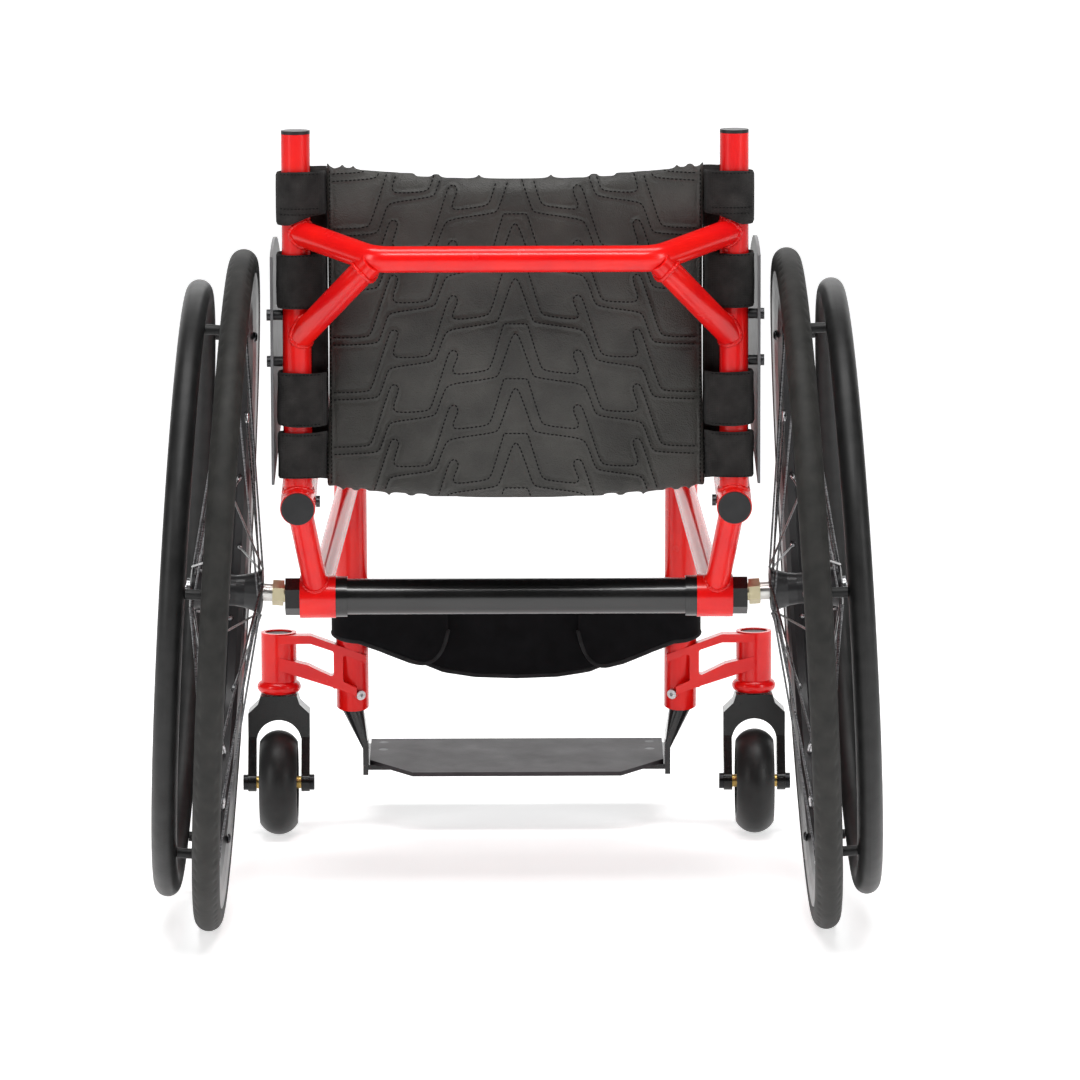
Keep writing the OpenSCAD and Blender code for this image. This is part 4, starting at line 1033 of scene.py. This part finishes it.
def strap(side, number, low, high):
    plan = belt_plan()
    skew = [0.0012 * math.sin(number * 1.7 + 0.14 * i) for i in range(len(plan))]
    droop = TOP_STRAP_DROOP if number == 1 else 0.0
    heights = [(low + 0.0012 + max(s, 0) - droop * min(1, max(0, (x - DROOP_START) / DROOP_RUN)),
                high - 0.0012 + min(s, 0)) for s, (x, _) in zip(skew, plan)]
    points, faces = band(plan, heights, STRAP_HALF_T, 0.0007, number)
    sign = 1 if side == "right" else -1
    points = [(sign * (CANE_X + x), CANE_Y + y, z) for x, y, z in points]
    piece = make_piece(f"back_strap_{side}_{number}", points, faces, STRAP_CLOTH, "frame")
    length = sum(math.dist(a, b) for a, b in zip(plan, plan[1:]))
    return piece, length


for side in ("left", "right"):
    for number, (low, high) in enumerate(STRAP_BANDS, 1):
        piece, length = strap(side, number, low, high)
        edges = [high - 0.0034, low + 0.0034] if number != 1 else [high - 0.0034, low + 0.0034, low + 0.0085]
        sign = 1 if side == "right" else -1
        span = [sign * (CANE_X - 0.0205) / MM, sign * (CANE_X + 0.0150) / MM]
        sew(f"strap_stitches_{side}_{number}", [[(span[0], z / MM), (span[1], z / MM)] for z in edges],
            surface_finder(piece), THREAD, "frame", pitch=3.2, length=2.2, r=0.00045)
    lining_plan = [(LINING_START + LINING_WIDTH * k / LINING_STEPS,
                    LINING_Y + LINING_WAVE * math.sin(k * 0.7)) for k in range(LINING_STEPS + 1)]
    points, faces = band(lining_plan, [(LINING_LOW, LINING_HIGH)] * len(lining_plan), LINING_HALF_T,
                         LINING_WOBBLE, LINING_SEED)
    sign = 1 if side == "right" else -1
    lining = make_piece(f"back_lining_{side}", [(sign * (CANE_X + x), CANE_Y + y, z) for x, y, z in points],
                        faces, STRAP_CLOTH, "frame")
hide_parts("back_straps")
print("strap length", round(length, 3))

# %% [markdown]
# ## Seat cloth
# The seat is one sheet slung between the rails. It sags a little in the middle and its front and rear
# edges are hemmed. A grid with a sag formula is enough, because nothing rests on it.

# %% Seat sling
seat_low, seat_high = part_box("seat_sling")
TAPER = (AXLE.y + 0.060, AXLE.y + 0.150)


def seat_half(y):
    share = min(1, max(0, (y - TAPER[0]) / (TAPER[1] - TAPER[0])))
    return (CANE_X + 0.010) * (1 - share) + (0.1575 + 0.010) * share


def seat_sheet(columns=56, rows=70, thickness=0.0030):
    start, end = seat_low.y + 0.001, seat_high.y - 0.001
    points, faces = [], []
    for face in (1, -1):
        for j in range(rows + 1):
            y = start + (end - start) * j / rows
            top = (0.389 + (y - (CANE_Y - 0.022)) * math.tan(RAIL_RISE)
                   + (RAIL_R + 0.0006) / math.cos(RAIL_RISE))
            half = seat_half(y)
            ends = min(1, 9 * min(j, rows - j) / rows) ** 0.5
            for i in range(columns + 1):
                u = 2 * i / columns - 1
                edge = min(1, 14 * (1 - abs(u))) ** 0.5
                sag = 0.012 * (1 - u * u) ** 1.3 * (0.75 + 0.25 * ends)
                ripple = 0.0006 * noise.noise(Vector((u * 6, y * 22, 5.0))) * edge
                hem = 1.25 if j < 4 or j > rows - 4 else 1.0
                body = thickness * max(0.15, edge) * hem
                lift = thickness * 0.5 + 0.0002 + face * body / 2
                points.append((u * half, y, top + lift - sag + ripple))
    stride = columns + 1
    base = (rows + 1) * stride
    for j in range(rows):
        for i in range(columns):
            a = j * stride + i
            faces.append((a, a + 1, a + stride + 1, a + stride))
            faces.append((base + a, base + a + stride, base + a + stride + 1, base + a + 1))
    rim = [i for i in range(stride)] + [j * stride + columns for j in range(1, rows + 1)]
    rim += [rows * stride + i for i in range(columns - 1, -1, -1)]
    rim += [j * stride for j in range(rows - 1, 0, -1)]
    for a, b in zip(rim, rim[1:] + rim[:1]):
        faces.append((a, base + a, base + b, b))
    return points, faces, end - start


seat_points, seat_faces, seat_long = seat_sheet()
seat = make_piece("seat_cloth_sheet", seat_points, seat_faces, SEAT_CLOTH, "frame")
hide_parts("seat_sling")
print("seat cloth", round(2 * seat_half(seat_low.y), 3), "by", round(seat_long, 3))

# %% [markdown]
# ## Calf strap
# A neoprene band crosses in front of the two front tubes, wraps round each and comes back behind with a
# rounded end that sticks to the band. It is built in the tubes' own leaning frame, where it stands
# straight, and then leaned over with one matrix. A thin tape binds every edge.

# %% Calf strap
TUBE_X, TUBE_LEAN = 0.1575, math.radians(12)
LEANED = Matrix.Translation((0, AXLE.y + 0.460, 0.1175)) @ Matrix.Rotation(TUBE_LEAN, 4, "X")
CALF_EDGE = [(0, 22.5), (40, 24), (70, 29), (102, 43), (131, 61), (150, 71), (190, 76)]
WRAP_R, CALF_T = 0.0182, 0.0032


def calf_low(x):
    return float(np.interp(abs(x) / MM, [p[0] for p in CALF_EDGE], [p[1] for p in CALF_EDGE])) * MM


def calf_rows(plan, end_x=None, lift=0.0, top=0.1215):
    """Low and high edge at each point of the plan; a tab narrows to a round end at end_x."""
    rows = []
    for x, _ in plan:
        low, high = calf_low(x) + lift, top
        if end_x is not None:
            near = min(1, max(0.02, (abs(x) - end_x) / 0.030))
            round_end = math.sqrt(1 - (1 - near) ** 2)
            mid = 0.42 * low + 0.58 * high
            low, high = mid - (mid - low) * round_end, mid + (high - mid) * round_end
        rows.append((low, high))
    return rows


def calf_piece(name, plan, heights, seed_number):
    points, faces = band(plan, heights, CALF_T / 2, 0.0006, seed_number)
    points = [LEANED @ Vector(p) for p in points]
    return make_piece(name, points, faces, NEOPRENE, "frame")


def edge_tape(name, plan, heights):
    lines = []
    for which in (0, 1):
        lines.append([LEANED @ Vector((x, y, heights[i][which])) for i, (x, y) in enumerate(plan)])
    parts = [swept(line, [0.00215] * len(line), False, 10) for line in lines]
    points, faces = join_parts(parts)
    return make_piece(name, points, faces, EDGE_TAPE, "frame")


def wrap_plan(sign, end_x):
    line = []
    for k in range(21):
        a = math.radians(80 - 170 * k / 20)
        line.append((sign * (TUBE_X + WRAP_R * math.cos(a)), WRAP_R * math.sin(a)))
    start = line[-1]
    for k in range(1, 31):
        share = k / 30
        x = abs(start[0]) + (end_x - abs(start[0])) * share
        ease = share * share * (3 - 2 * share)
        line.append((sign * x, start[1] + (0.0131 - start[1]) * ease))
    return line


main_plan = [(TUBE_X * (2 * k / 80 - 1), WRAP_R + 0.0002) for k in range(81)]
main_heights = calf_rows(main_plan)
calf = calf_piece("calf_band", main_plan, main_heights, 11)
edge_tape("calf_band_tape", main_plan, main_heights)
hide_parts("calf_strap")
for side, sign, end_x, lift in (("left", -1, 0.0655, 0.002), ("right", 1, 0.0595, 0.001)):
    plan = wrap_plan(sign, end_x)
    heights = calf_rows(plan, end_x, lift)
    tab = calf_piece(f"calf_tab_{side}", plan, heights, 12 + sign)
    edge_tape(f"calf_tab_tape_{side}", plan, heights)
print("calf band made")
